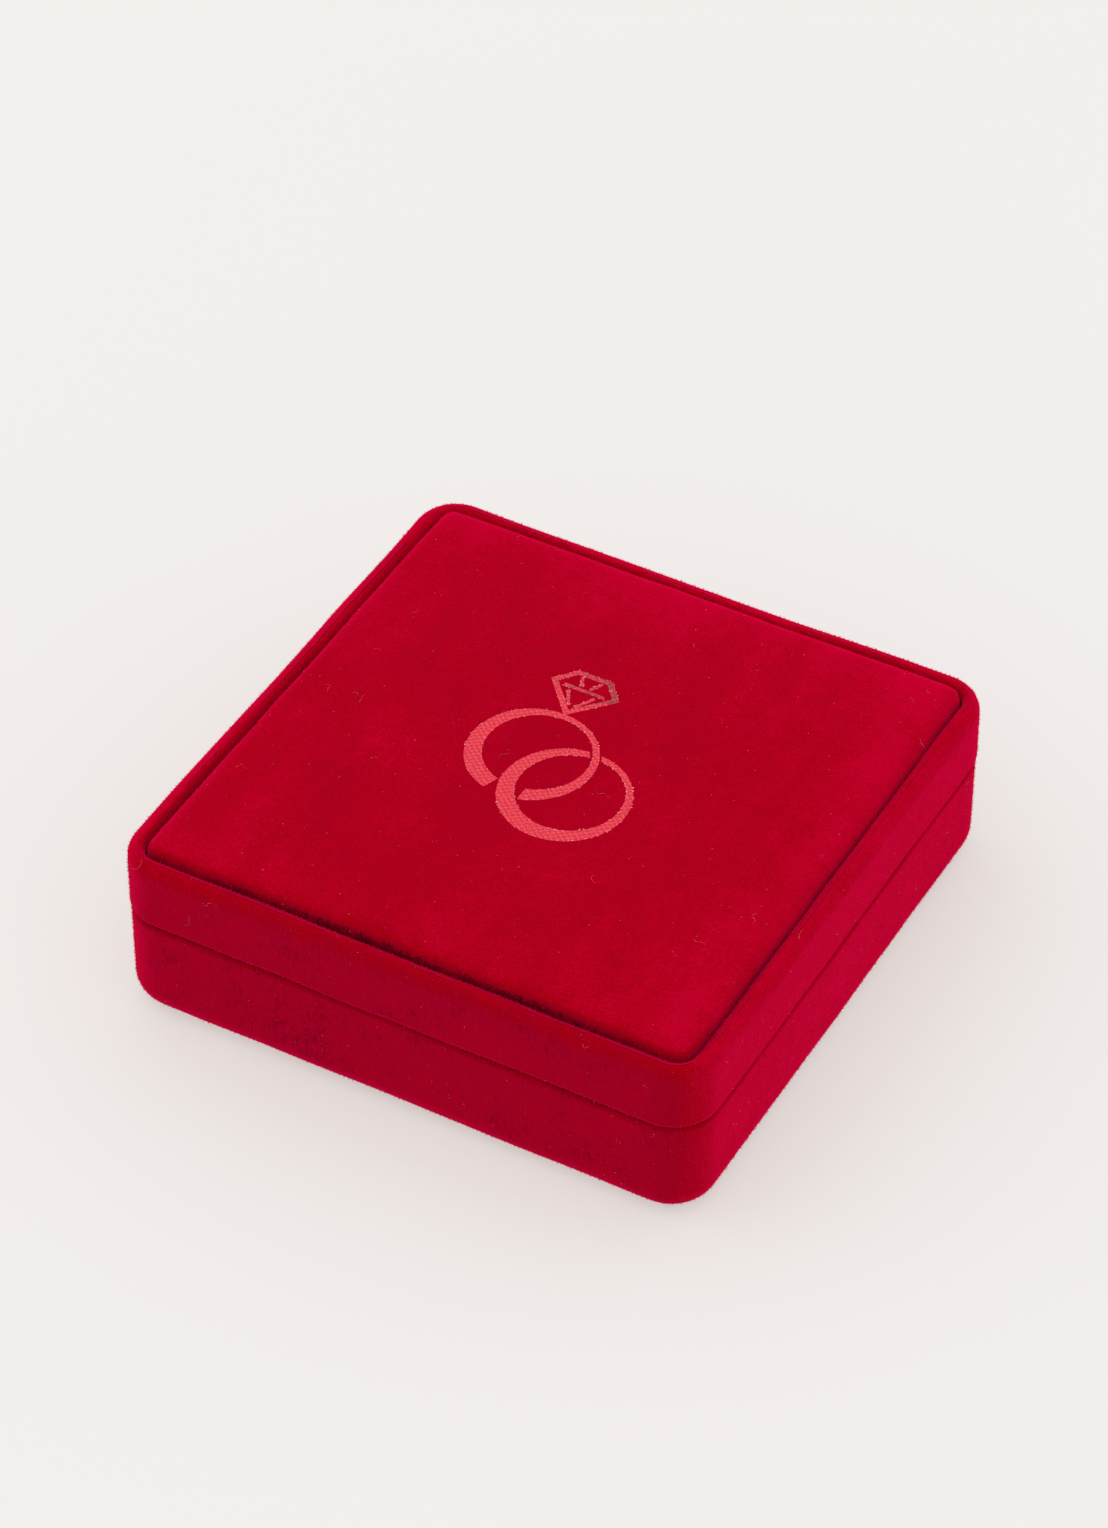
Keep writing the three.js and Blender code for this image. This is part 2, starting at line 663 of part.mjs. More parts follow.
function hingeGroup() {
  const hinge = new THREE.Group().add(
    piece("hinge_base_leaf", hingeBaseLeaf(), "steel"),
    piece("hinge_lid_leaf", hingeLidLeaf(), "steel"),
    piece("hinge_pin", hingePin(), "steel"),
    piece("hinge_spring", hingeSpring(), "steel"),
  );
  const walls = [
    { part: "base", height: -rivetDrop, wallOuter: BASE_STEP + skin },
    { part: "lid", height: rivetDrop, wallOuter: skin },
  ];
  for (const { part, height, wallOuter } of walls) {
    rivetPlaces().forEach((x, index) => {
      const side = index === 0 ? "left" : "right";
      const fastener = piece(`hinge_rivet_${part}_${side}`, rivet(wallOuter), "steel");
      fastener.position.set(x, 0, height);
      hinge.add(fastener);
    });
  }
  hinge.position.set(0, axisY, axisZ);
  return hinge;
}

export default new THREE.Group().add(baseGroup(), lidGroup(), hingeGroup());
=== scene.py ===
# %% [markdown]
# # A velvet ring box, piece by piece
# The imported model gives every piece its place: the moulded shells, the cards and the hinge
# stay as they are and only get finishes. Everything that is cloth, padding or foil is made
# here as a new surface in the same frame, in metres, and takes the place of its plain solid.

# %% Load the frame and keep its box
import json
import math

import bpy
import numpy as np
from mathutils import Matrix, Vector


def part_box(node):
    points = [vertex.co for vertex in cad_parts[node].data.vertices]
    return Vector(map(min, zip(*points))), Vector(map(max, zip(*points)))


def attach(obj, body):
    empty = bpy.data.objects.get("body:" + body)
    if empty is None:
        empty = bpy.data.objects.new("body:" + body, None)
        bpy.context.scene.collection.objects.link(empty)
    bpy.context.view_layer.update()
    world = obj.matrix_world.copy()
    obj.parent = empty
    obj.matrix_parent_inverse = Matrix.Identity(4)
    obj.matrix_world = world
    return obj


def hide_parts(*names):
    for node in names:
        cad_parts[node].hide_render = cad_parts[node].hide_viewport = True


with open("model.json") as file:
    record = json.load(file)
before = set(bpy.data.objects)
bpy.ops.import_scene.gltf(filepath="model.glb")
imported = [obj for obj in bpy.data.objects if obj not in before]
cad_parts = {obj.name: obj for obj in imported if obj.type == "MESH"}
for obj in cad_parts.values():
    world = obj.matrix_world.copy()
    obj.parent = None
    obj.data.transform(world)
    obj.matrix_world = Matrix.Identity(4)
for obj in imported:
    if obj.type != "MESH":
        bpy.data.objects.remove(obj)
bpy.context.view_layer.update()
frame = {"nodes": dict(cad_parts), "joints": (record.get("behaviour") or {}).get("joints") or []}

MM = 0.001
MERGE = 0.002 * MM
scene = bpy.context.scene

# %% [markdown]
# ## Camera
# The box is seen from its front right corner, from well above, through a long lens, so its
# sides hardly converge. The camera is given as a turn round the box, a height angle and a
# distance, and then slid in its own plane to set the box in the frame.

# %% Camera
AZIMUTH = math.radians(28.9)
ELEVATION = math.radians(42.01)
ROLL = math.radians(0.15)
DISTANCE = 0.8275
SLIDE_RIGHT = -0.85 * MM
SLIDE_UP = 23.26 * MM
LENS_MM = 124.66
SENSOR_MM = 36.0


def make_camera():
    """Axes from the turn and the height angle: back is the direction from the box to the
    camera, right is level, up is square to both, and the roll turns right and up."""
    back = Vector((math.sin(AZIMUTH) * math.cos(ELEVATION),
                   -math.cos(AZIMUTH) * math.cos(ELEVATION),
                   math.sin(ELEVATION)))
    right = (-back).cross(Vector((0, 0, 1))).normalized()
    up = right.cross(-back)
    rolled_right = right * math.cos(ROLL) + up * math.sin(ROLL)
    rolled_up = up * math.cos(ROLL) - right * math.sin(ROLL)
    data = bpy.data.cameras.new("camera")
    data.lens = LENS_MM
    data.sensor_width = SENSOR_MM
    data.clip_start = 0.05
    data.clip_end = 20
    camera = bpy.data.objects.new("camera", data)
    scene.collection.objects.link(camera)
    spot = back * DISTANCE + rolled_right * SLIDE_RIGHT + rolled_up * SLIDE_UP
    turn = Matrix((rolled_right, rolled_up, back)).transposed().to_4x4()
    camera.matrix_world = Matrix.Translation(spot) @ turn
    scene.camera = camera
    print("camera at, mm:", [round(v / MM, 1) for v in spot])


make_camera()

# %% [markdown]
# ## Surfaces from grids
# Cloth that is glued round a wall is a thin strip with a closed section, carried once round
# the box. So it is a grid that closes on itself both ways, like a ring-shaped tube. Working
# it out as whole arrays keeps each fold's shape in one formula, and a fold may change its
# size on the way round.

# %% Mesh helpers
def link_mesh(name, points, faces, smooth=True, caps=None):
    """A new object from points (n, 3) and faces (m, 3 or 4); caps are further triangles."""
    faces = faces.reshape(-1, faces.shape[-1]).tolist()
    if caps is not None:
        faces += caps.reshape(-1, 3).tolist()
    mesh = bpy.data.meshes.new(name)
    mesh.from_pydata(points.reshape(-1, 3).tolist(), [], faces)
    mesh.update()
    mesh.shade_smooth() if smooth else mesh.shade_flat()
    piece = bpy.data.objects.new(name, mesh)
    scene.collection.objects.link(piece)
    return piece


def grid_quads(index):
    """Quads of an open grid, from the array of its point numbers."""
    return np.stack([index[:-1, :-1], index[1:, :-1], index[1:, 1:], index[:-1, 1:]], -1)


def ring_quads(rows, columns):
    """Quads of a grid that closes on itself along both of its directions."""
    index = np.arange(rows * columns).reshape(rows, columns)
    onward = np.roll(index, -1, axis=0)
    return np.stack([index, onward, np.roll(onward, -1, axis=1),
                     np.roll(index, -1, axis=1)], -1)


def apply_modifier(piece, kind, **settings):
    """Adds a modifier with its settings and applies it."""
    modifier = piece.modifiers.new("shape", kind)
    for key, value in settings.items():
        setattr(modifier, key, value)
    with bpy.context.temp_override(object=piece, active_object=piece):
        bpy.ops.object.modifier_apply(modifier=modifier.name)


def smooth_step(low, high, value):
    """0 below low, 1 above high, and 3t^2 - 2t^3 between."""
    t = np.clip((value - low) / (high - low), 0, 1)
    return t * t * (3 - 2 * t)


def place(node):
    """The lowest and highest corner of a model node as arrays."""
    low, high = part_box(node)
    return np.array(low), np.array(high)


def ripple(run, length, waves, size, seed):
    """A gentle unevenness that closes after one lap: a sum of cosines with whole numbers of
    waves between waves[0] and waves[1] in the lap, with seeded heights and phases."""
    draw = np.random.default_rng(seed)
    counts = draw.integers(waves[0], waves[1], 9)
    heights = draw.uniform(0.3, 1, 9)
    phases = draw.uniform(0, 2 * np.pi, 9)
    angle = 2 * np.pi * counts[:, None] * run[None, :] / length + phases[:, None]
    return size * (heights[:, None] * np.cos(angle)).sum(0) / np.sqrt((heights ** 2).sum() / 2)


# %% [markdown]
# ## The box's outline
# Seen from above the box is a square with round corners. The outline is held as a skeleton,
# the points that the corner arcs turn about, and the outward directions. A point that lies
# some inset inside the outer face is skeleton + (corner radius - inset) * outward.

# %% Outline
CORNER = 7.7 * MM
LID_TIGHTENING = 1.45
STRAIGHT_STEP = 0.8 * MM
CORNER_STEPS = 16


def outline(half):
    """Skeleton points (n, 2), outward directions (n, 2), distance run (n) and its length."""
    skeleton, outward = [], []
    core = half - CORNER
    signs = np.array([[1, 1], [-1, 1], [-1, -1], [1, -1]])
    straight = int(round(2 * core / STRAIGHT_STEP))
    for corner in range(4):
        angle = np.radians(90 * corner + np.linspace(0, 90, CORNER_STEPS + 1))
        direction = np.stack([np.cos(angle), np.sin(angle)], -1)
        centre = signs[corner] * core
        onward = signs[(corner + 1) % 4] * core
        share = np.linspace(0, 1, straight + 1)[1:-1, None]
        skeleton += [np.repeat(centre[None, :], len(angle), 0),
                     centre + (onward - centre) * share]
        outward += [direction, np.repeat(direction[-1:], len(share), 0)]
    skeleton, outward = np.concatenate(skeleton), np.concatenate(outward)
    edge = skeleton + CORNER * outward
    steps = np.linalg.norm(np.roll(edge, -1, axis=0) - edge, axis=1)
    run = np.concatenate([[0], np.cumsum(steps)[:-1]])
    return skeleton, outward, run, steps.sum()


lid_low, lid_high = place("lid_cover")
base_low, base_high = place("base_cover")
HALF = lid_high[0]
skeleton, outward, run, lap = outline(HALF)
edge_x, edge_y = (skeleton + CORNER * outward).T
print("outline:", len(run), "columns,", round(lap / MM, 1), "mm round")

# %% [markdown]
# ## Where the hinge sits
# Along the back both covers are bevelled, so that the lid can swing up and back, and in the
# middle both dip round the hinge's barrel. The bevel is a plane through a point just inside
# the hinge's axis.

# %% Bevel and notch
hinge = frame["joints"][0]
axis_y, axis_z = hinge["pos_m"][1], hinge["pos_m"][2]
leaf_high = place("hinge_base_leaf")[1]
VELVET = 0.7 * MM
STACK = 3.2 * MM
FOLD = 0.9 * MM
BEVEL = math.tan(math.radians(50))
BARREL_ROOM = 1.65 * MM
NOTCH_THINS = 0.75 * MM
BACK_FACE = 0.9 * HALF

BEVEL_POINT = axis_y - 0.3 * MM
notch = (1 - smooth_step(leaf_high[0] + 0.1 * MM, leaf_high[0] + 1.3 * MM, np.abs(edge_x)))
notch = notch * (edge_y > BACK_FACE)
print("bevel falls", round((HALF - BEVEL_POINT) * BEVEL / MM, 2), "mm at the back face")

# %% [markdown]
# ## Section of a covered wall
# A strip's section is made of straight runs and round bends, each given by (inset, height)
# at every column of the outline, so heights and radii are arrays over the lap.

# %% Section helpers
def lane(inset, height):
    """(inset, height) at every column, from numbers or arrays over the lap."""
    ones = np.ones(len(run))
    return np.stack([inset * ones, height * ones], -1)


def straight_run(start, end, steps):
    """start + (end - start) * t, without its end point."""
    t = np.linspace(0, 1, steps + 1)[:-1]
    return start[:, None] + (end - start)[:, None] * t[None, :, None]


def bend(centre, radius, first, last, steps):
    """centre + radius * (cos a, sin a); angle 0 points inwards and 90 points up."""
    angle = np.radians(np.linspace(first, last, steps + 1))
    circle = np.stack([np.cos(angle), np.sin(angle)], -1)
    size = radius * np.ones(len(run))
    return centre[:, None] + size[:, None, None] * circle[None]


def wrap(name, section, bevel_side=0, tightening=1.0):
    """Carries a closed section (columns, points, 2) round the outline. Where tightening is
    above 1 the corner radius falls faster than the inset grows: the arcs' centres move out
    by the same length that the radius loses. bevel_side is 1 for a lower half, whose points
    stay under the bevel, and -1 for an upper half, whose points stay over it."""
    inset, height = section[..., 0], section[..., 1]
    shift = ((tightening - 1) * inset)[..., None]
    centres = skeleton[:, None] * (1 + shift / (HALF - CORNER))
    flat = centres + ((CORNER - inset)[..., None] - shift) * outward[:, None]
    behind = np.clip(flat[..., 1] - BEVEL_POINT, 0, None)
    if bevel_side > 0:
        height = np.where(behind > 0, np.minimum(height, axis_z - behind * BEVEL), height)
    if bevel_side < 0:
        height = np.where(behind > 0, np.maximum(height, axis_z + behind * BEVEL), height)
    points = np.concatenate([flat, height[..., None]], -1)
    piece = link_mesh(name, points, ring_quads(*inset.shape))
    apply_modifier(piece, "WELD", merge_threshold=MERGE)
    print(name, "faces:", len(piece.data.polygons))
    return piece


# %% [markdown]
# ## Base cover
# On the real box this is one sheet of short-pile velvet, glued round the plastic tray: it
# turns under the foot, runs up the wall, folds over the edge and goes some way down inside.
# It could be the tray with a thickness added, but a strip of its own lets the fold wander by
# a tenth of a millimetre, as glued cloth does.

# %% Base cover
BASE_STEP = 0.2 * MM
FOOT = 4.4 * MM
TURN_UNDER = 7.0 * MM
TURN_IN = 5.5 * MM


def make_base_cover():
    """Section: under the foot, up the wall, over the edge, down inside, and back within the
    cloth's own thickness."""
    top = base_high[2] + ripple(run, lap, (6, 26), 0.05 * MM, 11)
    foot = base_low[2] + 0.02 * MM
    outer = BASE_STEP + ripple(run, lap, (5, 22), 0.05 * MM, 12)
    top = top + (axis_z - BARREL_ROOM - top) * notch
    stack = STACK - NOTCH_THINS * notch
    inner_end = base_high[2] - TURN_IN + (axis_z - BARREL_ROOM - 1.2 * MM
                                          - (base_high[2] - TURN_IN)) * notch
    thin = FOLD - VELVET
    under = TURN_UNDER + ripple(run, lap, (9, 40), 0.25 * MM, 13)
    outside = [
        straight_run(lane(under, foot), lane(outer + FOOT, foot), 5),
        bend(lane(outer + FOOT, foot + FOOT), FOOT, 270, 180, 14),
        straight_run(lane(outer, foot + FOOT + 0.6 * MM), lane(outer, top - FOLD), 14),
        bend(lane(outer + FOLD, top - FOLD), FOLD, 180, 90, 9),
        straight_run(lane(outer + FOLD + 0.2 * MM, top), lane(stack - FOLD, top), 4),
        bend(lane(stack - FOLD, top - FOLD), FOLD, 90, 0, 7),
        straight_run(lane(stack, top - FOLD - 0.1 * MM), lane(stack, inner_end), 6),
    ]
    inside = [
        straight_run(lane(stack, inner_end), lane(stack - VELVET, inner_end), 1),
        straight_run(lane(stack - VELVET, inner_end), lane(stack - VELVET, top - FOLD), 5),
        bend(lane(stack - FOLD, top - FOLD), thin, 0, 90, 2),
        bend(lane(outer + FOLD, top - FOLD), thin, 90, 180, 2),
        straight_run(lane(outer + VELVET, top - FOLD - 0.1 * MM),
                     lane(outer + VELVET, foot + FOOT), 6),
        bend(lane(outer + FOOT, foot + FOOT), FOOT - VELVET, 180, 270, 6),
        straight_run(lane(outer + FOOT + 0.1 * MM, foot + VELVET), lane(under, foot + VELVET), 3),
        straight_run(lane(under, foot + VELVET), lane(under, foot), 1),
    ]
    return wrap("base_velvet", np.concatenate(outside + inside, axis=1), 1)


base_velvet = make_base_cover()
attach(base_velvet, "base")
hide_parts("base_cover")

# %% [markdown]
# ## Lid cover
# The same velvet wraps the lid's rim: from inside, round the lower edge, up the side, over
# the rounded top and down to the ledge that carries the padded panel. The lower fold stands
# out a little over the base and wanders up and down, and the rim sags slightly along the
# back.

# %% Lid cover
RIM = 2.0 * MM
RIM_FOLD = 1.2 * MM
DRAFT = 0.3 * MM
BACK_SAG = 0.25 * MM
PANEL_SEAT = place("panel_cover")[0][2]


def make_lid_cover():
    """Section: from the lower fold's inner corner out and up the face, over the rim and down
    to the panel's ledge, back within the cloth, and last the part inside the lid's wall."""
    foot = lid_low[2] + ripple(run, lap, (7, 30), 0.05 * MM, 21)
    top = lid_high[2] - 0.06 * MM + ripple(run, lap, (4, 14), 0.06 * MM, 22)
    top = top - BACK_SAG * (edge_y > BACK_FACE) * np.cos(np.pi * edge_x / (2 * HALF)) ** 2
    outer = 0.02 * MM + ripple(run, lap, (5, 20), 0.04 * MM, 23)
    foot = foot + (axis_z + BARREL_ROOM - foot) * notch
    stack = STACK - NOTCH_THINS * notch
    inner_end = foot + 4.6 * MM - 3.4 * MM * notch
    thin = FOLD - VELVET
    upper = outer + DRAFT - 0.22 * MM
    groove = STACK + 0.08 * MM + ripple(run, lap, (6, 24), 0.05 * MM, 24)
    seat = PANEL_SEAT + 0.2 * MM
    outside = [
        bend(lane(stack - FOLD, foot + FOLD), FOLD, 360, 270, 6),
        straight_run(lane(stack - FOLD - 0.2 * MM, foot),
                     lane(outer + FOLD, foot), 4),
        bend(lane(outer + FOLD, foot + FOLD), FOLD, 270, 180, 9),
        straight_run(lane(outer + 0.02 * MM, foot + FOLD + 0.4 * MM),
                     lane(upper, top - RIM), 11),
        bend(lane(upper + RIM, top - RIM), RIM, 180, 90, 10),
        bend(lane(groove - RIM_FOLD, top - RIM_FOLD), RIM_FOLD, 90, 0, 7),
        straight_run(lane(groove, top - RIM_FOLD - 0.1 * MM), lane(groove, seat), 3),
    ]
    inside = [
        straight_run(lane(groove, seat), lane(groove - VELVET, seat), 1),
        straight_run(lane(groove - VELVET, seat), lane(groove - VELVET, top - RIM_FOLD), 3),
        bend(lane(groove - RIM_FOLD, top - RIM_FOLD), RIM_FOLD - VELVET, 0, 90, 2),
        bend(lane(upper + RIM, top - RIM), RIM - VELVET, 90, 180, 4),
        straight_run(lane(upper + VELVET, top - RIM - 0.1 * MM),
                     lane(outer + VELVET, foot + FOLD), 5),
        bend(lane(outer + FOLD, foot + FOLD), thin, 180, 270, 2),
        bend(lane(stack - FOLD, foot + FOLD), thin, 270, 360, 2),
        straight_run(lane(stack - VELVET, foot + FOLD + 0.1 * MM),
                     lane(stack - VELVET, inner_end), 4),
        straight_run(lane(stack - VELVET, inner_end), lane(stack, inner_end), 1),
        straight_run(lane(stack, inner_end), lane(stack, foot + FOLD + 0.1 * MM), 4),
    ]
    return wrap("lid_velvet", np.concatenate(outside + inside, axis=1), -1,
                LID_TIGHTENING)


lid_velvet = make_lid_cover()
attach(lid_velvet, "lid")
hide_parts("lid_cover")

# %% [markdown]
# ## Painted shade and sheen
# The front strip gets painted shade, so it is deeper in colour than the side strip beside it,
# and the right, the back and the upper edges get painted sheen. This is stored in each mesh
# as a number from -1, deep, to 1, light, which the velvet's material reads. Below -1 it
# stands for a fold that light hardly reaches, painted shade too.

# %% Painted shade and sheen attribute
def store_painted_light(piece, value):
    """Writes one number per point, limited to -2..1, as the attribute of painted shade and sheen.
    """
    attribute = piece.data.attributes.new("painted_shade_and_sheen", "FLOAT", "POINT")
    attribute.data.foreach_set("value", np.clip(value, -2, 1).astype(np.float32))


def get_points(piece):
    """A mesh's points as an array (n, 3)."""
    flat = np.zeros(len(piece.data.vertices) * 3, np.float32)
    piece.data.vertices.foreach_get("co", flat)
    return flat.reshape(-1, 3).astype(float)


def wall_painted_light(points, top):
    """Painted shade on the front wall, near even on the left, painted sheen on the right and at
    the back; painted sheen makes the upper edge lighter all round, and painted shade makes the
    inner side deep."""
    front = np.exp(-((points[:, 1] + HALF) / (3 * MM)) ** 2)
    right = np.exp(-((points[:, 0] - HALF) / (3 * MM)) ** 2)
    back = np.exp(-((points[:, 1] - HALF) / (4 * MM)) ** 2)
    left = np.exp(-((points[:, 0] + HALF) / (4 * MM)) ** 2)
    rim = smooth_step(top - 2.4 * MM, top - 0.6 * MM, points[:, 2])
    # painted shade on the front wall, painted sheen on the right, at the back and along the upper
    # edge
    lean = -1.0 * front * (1 - right) + 0.15 * right + 0.5 * back + 0.1 * left
    lean = lean * (1 - 0.75 * rim)
    lean = lean + rim * (0.12 + 0.5 * back + 0.5 * left - 0.35 * front + 0.5 * right)
    past = np.clip(np.abs(points[:, :2]) - (HALF - CORNER), 0, None)
    inset = CORNER - np.linalg.norm(past, axis=1)
    leftward = smooth_step(-30 * MM, -45 * MM, points[:, 0])
    # painted shade on the inner side of the rim, weaker on the left
    lean = lean - (1.3 - 1.2 * leftward) * smooth_step(2.3 * MM, 3.1 * MM, inset)
    # painted shade in the groove at the front, a fold that light hardly reaches
    groove_shade = smooth_step(2.0 * MM, 2.9 * MM, inset) * smooth_step(top - 4 * MM, top - 2 * MM,
                                                                  points[:, 2])
    forward = smooth_step(30 * MM, -46 * MM, points[:, 1])
    return lean - 1.4 * groove_shade * forward


# painted shade and sheen for the two covers
for piece in (base_velvet, lid_velvet):
    store_painted_light(piece, wall_painted_light(get_points(piece), lid_high[2]))

# %% [markdown]
# ## Pads
# A pad is a closed form: a top grid, a skirt that runs down its side, and an underside that
# is hollowed where its card sits. The grid's lines are bent so that its edge follows the
# round corners. How far the foam lifts the cloth comes from a cloth simulation: a flat sheet
# is held where the real one is glued and blown up a little from below. Its heights are then
# read by the pad's own grid, which may be finer where a slot is cut.

# %% Foam lift by simulation
def sheet_lift(name, half, held, pressure, cap, count=84):
    """Heights (count, count) of a square sheet from -half to half. held(x, y) says where it is
    glued down. Cloth runs for twenty frames under pressure without gravity, and a height h
    is then limited to cap * tanh(h / cap)."""
    line = np.linspace(-half, half, count)
    x, y = np.meshgrid(line, line, indexing="ij")
    index = np.arange(count * count).reshape(count, count)
    quads = grid_quads(index)
    sheet = link_mesh(name, np.dstack([x, y, np.zeros_like(x)]), quads)
    group = sheet.vertex_groups.new(name="glued")
    group.add(np.flatnonzero(held(x, y).ravel()).tolist(), 1.0, "REPLACE")
    cloth = sheet.modifiers.new("cloth", "CLOTH")
    cloth.settings.vertex_group_mass = "glued"
    cloth.settings.use_pressure = True
    cloth.settings.uniform_pressure_force = pressure
    cloth.settings.effector_weights.gravity = 0
    cloth.point_cache.frame_start = 1
    cloth.point_cache.frame_end = 20
    for step in range(1, 21):
        scene.frame_set(step)
    shaped = sheet.evaluated_get(bpy.context.evaluated_depsgraph_get())
    flat = np.zeros(count * count * 3, np.float32)
    shaped.data.vertices.foreach_get("co", flat)
    scene.frame_set(1)
    bpy.data.objects.remove(sheet)
    height = flat.reshape(count, count, 3)[..., 2].astype(float)
    print(name, "rises by, mm:", round(float(height.max()) / MM, 2))
    return cap * np.tanh(height / cap)


def read_heights(height, half, x, y):
    """Heights between a square grid's points, by straight lines both ways."""
    top = len(height) - 1
    u = np.clip((x / half + 1) / 2 * top, 0, top - 1e-6)
    v = np.clip((y / half + 1) / 2 * top, 0, top - 1e-6)
    i, j = u.astype(int), v.astype(int)
    s, t = u - i, v - j
    return ((height[i, j] * (1 - s) + height[i + 1, j] * s) * (1 - t)
            + (height[i, j + 1] * (1 - s) + height[i + 1, j + 1] * s) * t)


def edge_inset(x, y, half, radius):
    """How far a point lies inside a square with round corners (negative outside)."""
    away = np.stack([np.abs(x), np.abs(y)], -1) - (half - radius)
    outside = np.linalg.norm(np.clip(away, 0, None), axis=-1)
    return radius - outside - np.clip(away.max(-1), None, 0)


# %% Pad mesh
def rounded_square(a, b, half, radius):
    """Points for (a, b) in -1..1. Rings of equal max(|a|, |b|) are scaled copies of the round
    edge; a point of the edge is the square's point held to the inner square and pushed out
    by the corner radius."""
    ring = np.maximum(np.maximum(np.abs(a), np.abs(b)), 1e-9)
    square = np.stack([a / ring, b / ring], -1) * half
    inner = np.clip(square, radius - half, half - radius)
    away = square - inner
    reach = np.maximum(np.linalg.norm(away, axis=-1, keepdims=True), 1e-12)
    return (inner + radius * away / reach) * ring[..., None]


def pad_mesh(name, lines, half, radius, side, top, up=1):
    """A closed pad. lines are the grid's two sets of coordinates in -1..1; side is a list of
    rows (inset, height, share) from the top's edge down, where share of the edge's own lift
    is added; the last row's inset and height are the underside's; top(x, y) is a height.
    up = -1 turns the pad over, so that its padded face looks down."""
    a, b = np.meshgrid(*lines, indexing="ij")
    rows, columns = a.shape
    index = np.arange(rows * columns).reshape(rows, columns)
    edge = np.concatenate([index[:-1, 0], index[-1, :-1], index[:0:-1, -1], index[0, :0:-1]])

    def spread(p, q, inset):
        return rounded_square(p, q, half - inset, max(radius - inset, 0.3 * MM))

    face = spread(a, b, side[0][0])
    points = [np.dstack([face, top(face[..., 0], face[..., 1])]).reshape(-1, 3)]
    lift = points[0][edge, 2] - side[0][1]
    for inset, height, share in side[1:]:
        ring = spread(a.ravel()[edge], b.ravel()[edge], inset)
        points.append(np.column_stack([ring, height + share * lift]))
    inner = np.ones(rows * columns, bool)
    inner[edge] = False
    under = spread(a, b, side[-1][0])
    points.append(np.dstack([under, np.full_like(a, side[-1][1])]).reshape(-1, 3)[inner])
    quads = [grid_quads(index)]
    above, start = edge, rows * columns
    for _ in side[1:]:
        below = start + np.arange(len(edge))
        start += len(edge)
        quads.append(np.stack([above, below, np.roll(below, -1), np.roll(above, -1)], -1))
        above = below
    lower = np.empty(rows * columns, int)
    lower[edge] = above
    lower[inner] = start + np.arange(inner.sum())
    lower = lower.reshape(rows, columns)
    quads.append(np.stack([lower[:-1, :-1], lower[:-1, 1:], lower[1:, 1:], lower[1:, :-1]], -1))
    points = np.concatenate(points)
    quads = np.concatenate([q.reshape(-1, 4) for q in quads])
    points[:, 2] *= up
    return link_mesh(name, points, quads if up > 0 else quads[:, ::-1])


def shoulder(size, top, steps=5, inset=0):
    """Rows of a quarter circle from the flat face down to the side; the share of the edge's
    lift falls from 1 to 0.4."""
    angle = np.linspace(np.pi / 2, 0, steps)
    share = np.linspace(1, 0.4, steps)
    return list(zip(inset + size * (1 - np.cos(angle)), top - size + size * np.sin(angle), share))


def subdivide(piece):
    """One level of subdivision, applied."""
    apply_modifier(piece, "SUBSURF", levels=1, render_levels=1)
    piece.data.shade_smooth()


def set_points(piece, points):
    """Writes an array of points into a mesh."""
    piece.data.vertices.foreach_set("co", points.astype(np.float32).ravel())
    piece.data.update()


def wander(x, y, size, seed):
    """A slow unevenness over a face: a sum of six plane waves, each 18 to 70 mm long."""
    draw = np.random.default_rng(seed)
    total = np.zeros_like(x)
    for _ in range(6):
        angle, phase = draw.uniform(0, 2 * np.pi, 2)
        length = draw.uniform(18, 70) * MM
        total += np.cos(2 * np.pi * (x * np.cos(angle) + y * np.sin(angle)) / length + phase)
    return size * total / np.sqrt(3)


# %% [markdown]
# ## Top panel
# A card with thin foam and velvet over it, dropped into the lid. It stands about a
# millimetre proud of the rim, its shoulder is round, and its edge wanders a little, which
# makes the groove round it wider here and narrower there.

# %% Top panel
panel_low, panel_high = place("panel_cover")
panel_card_high = place("panel_board")[1]
PANEL_HALF = panel_high[0]
PANEL_RADIUS = CORNER - LID_TIGHTENING * (HALF - PANEL_HALF)
SHOULDER = 2.3 * MM
PANEL_BULGE = -0.08 * MM
CARD_GAP = 0.03 * MM


def panel_held(x, y):
    """The velvet is glued outside the flat face, where it turns over the card's edge."""
    return edge_inset(x, y, PANEL_HALF, PANEL_RADIUS) < SHOULDER


panel_lift = sheet_lift("panel_sheet", PANEL_HALF, panel_held, 4, 0.8 * MM)


def panel_height(x, y):
    """Height of the panel's velvet: the card's level, the foam's lift and a slow wander."""
    return (panel_high[2] + read_heights(panel_lift, PANEL_HALF, x, y)
            + wander(x, y, 0.035 * MM, 31))


def make_top_panel():
    """The pad, with its outline pushed in and out by a few tens of microns."""
    side = shoulder(SHOULDER, panel_high[2], 6, inset=-PANEL_BULGE)
    side += [(0, panel_low[2] + 0.5 * MM, 0), (0.25 * MM, panel_low[2] + 0.05 * MM, 0)]
    card = HALF - panel_card_high[0] - (HALF - PANEL_HALF) - CARD_GAP
    side += [(card, panel_low[2] + 0.02 * MM, 0), (card, panel_card_high[2] + CARD_GAP, 0)]
    line = np.linspace(-1, 1, 92)
    panel = pad_mesh("top_panel", (line, line), PANEL_HALF, PANEL_RADIUS, side, panel_height)
    points = get_points(panel)
    turn = np.arctan2(points[:, 1], points[:, 0])
    reach = np.max(np.abs(points[:, :2]), axis=1) / PANEL_HALF
    waves = ((7, 0.4), (11, 2.0), (16, 4.1), (23, 5.3))
    sway = sum(np.cos(count * turn + phase) for count, phase in waves)
    points[:, :2] *= (1 + 0.0007 * sway * smooth_step(0.92, 1, reach))[:, None]
    set_points(panel, points)
    subdivide(panel)
    return panel


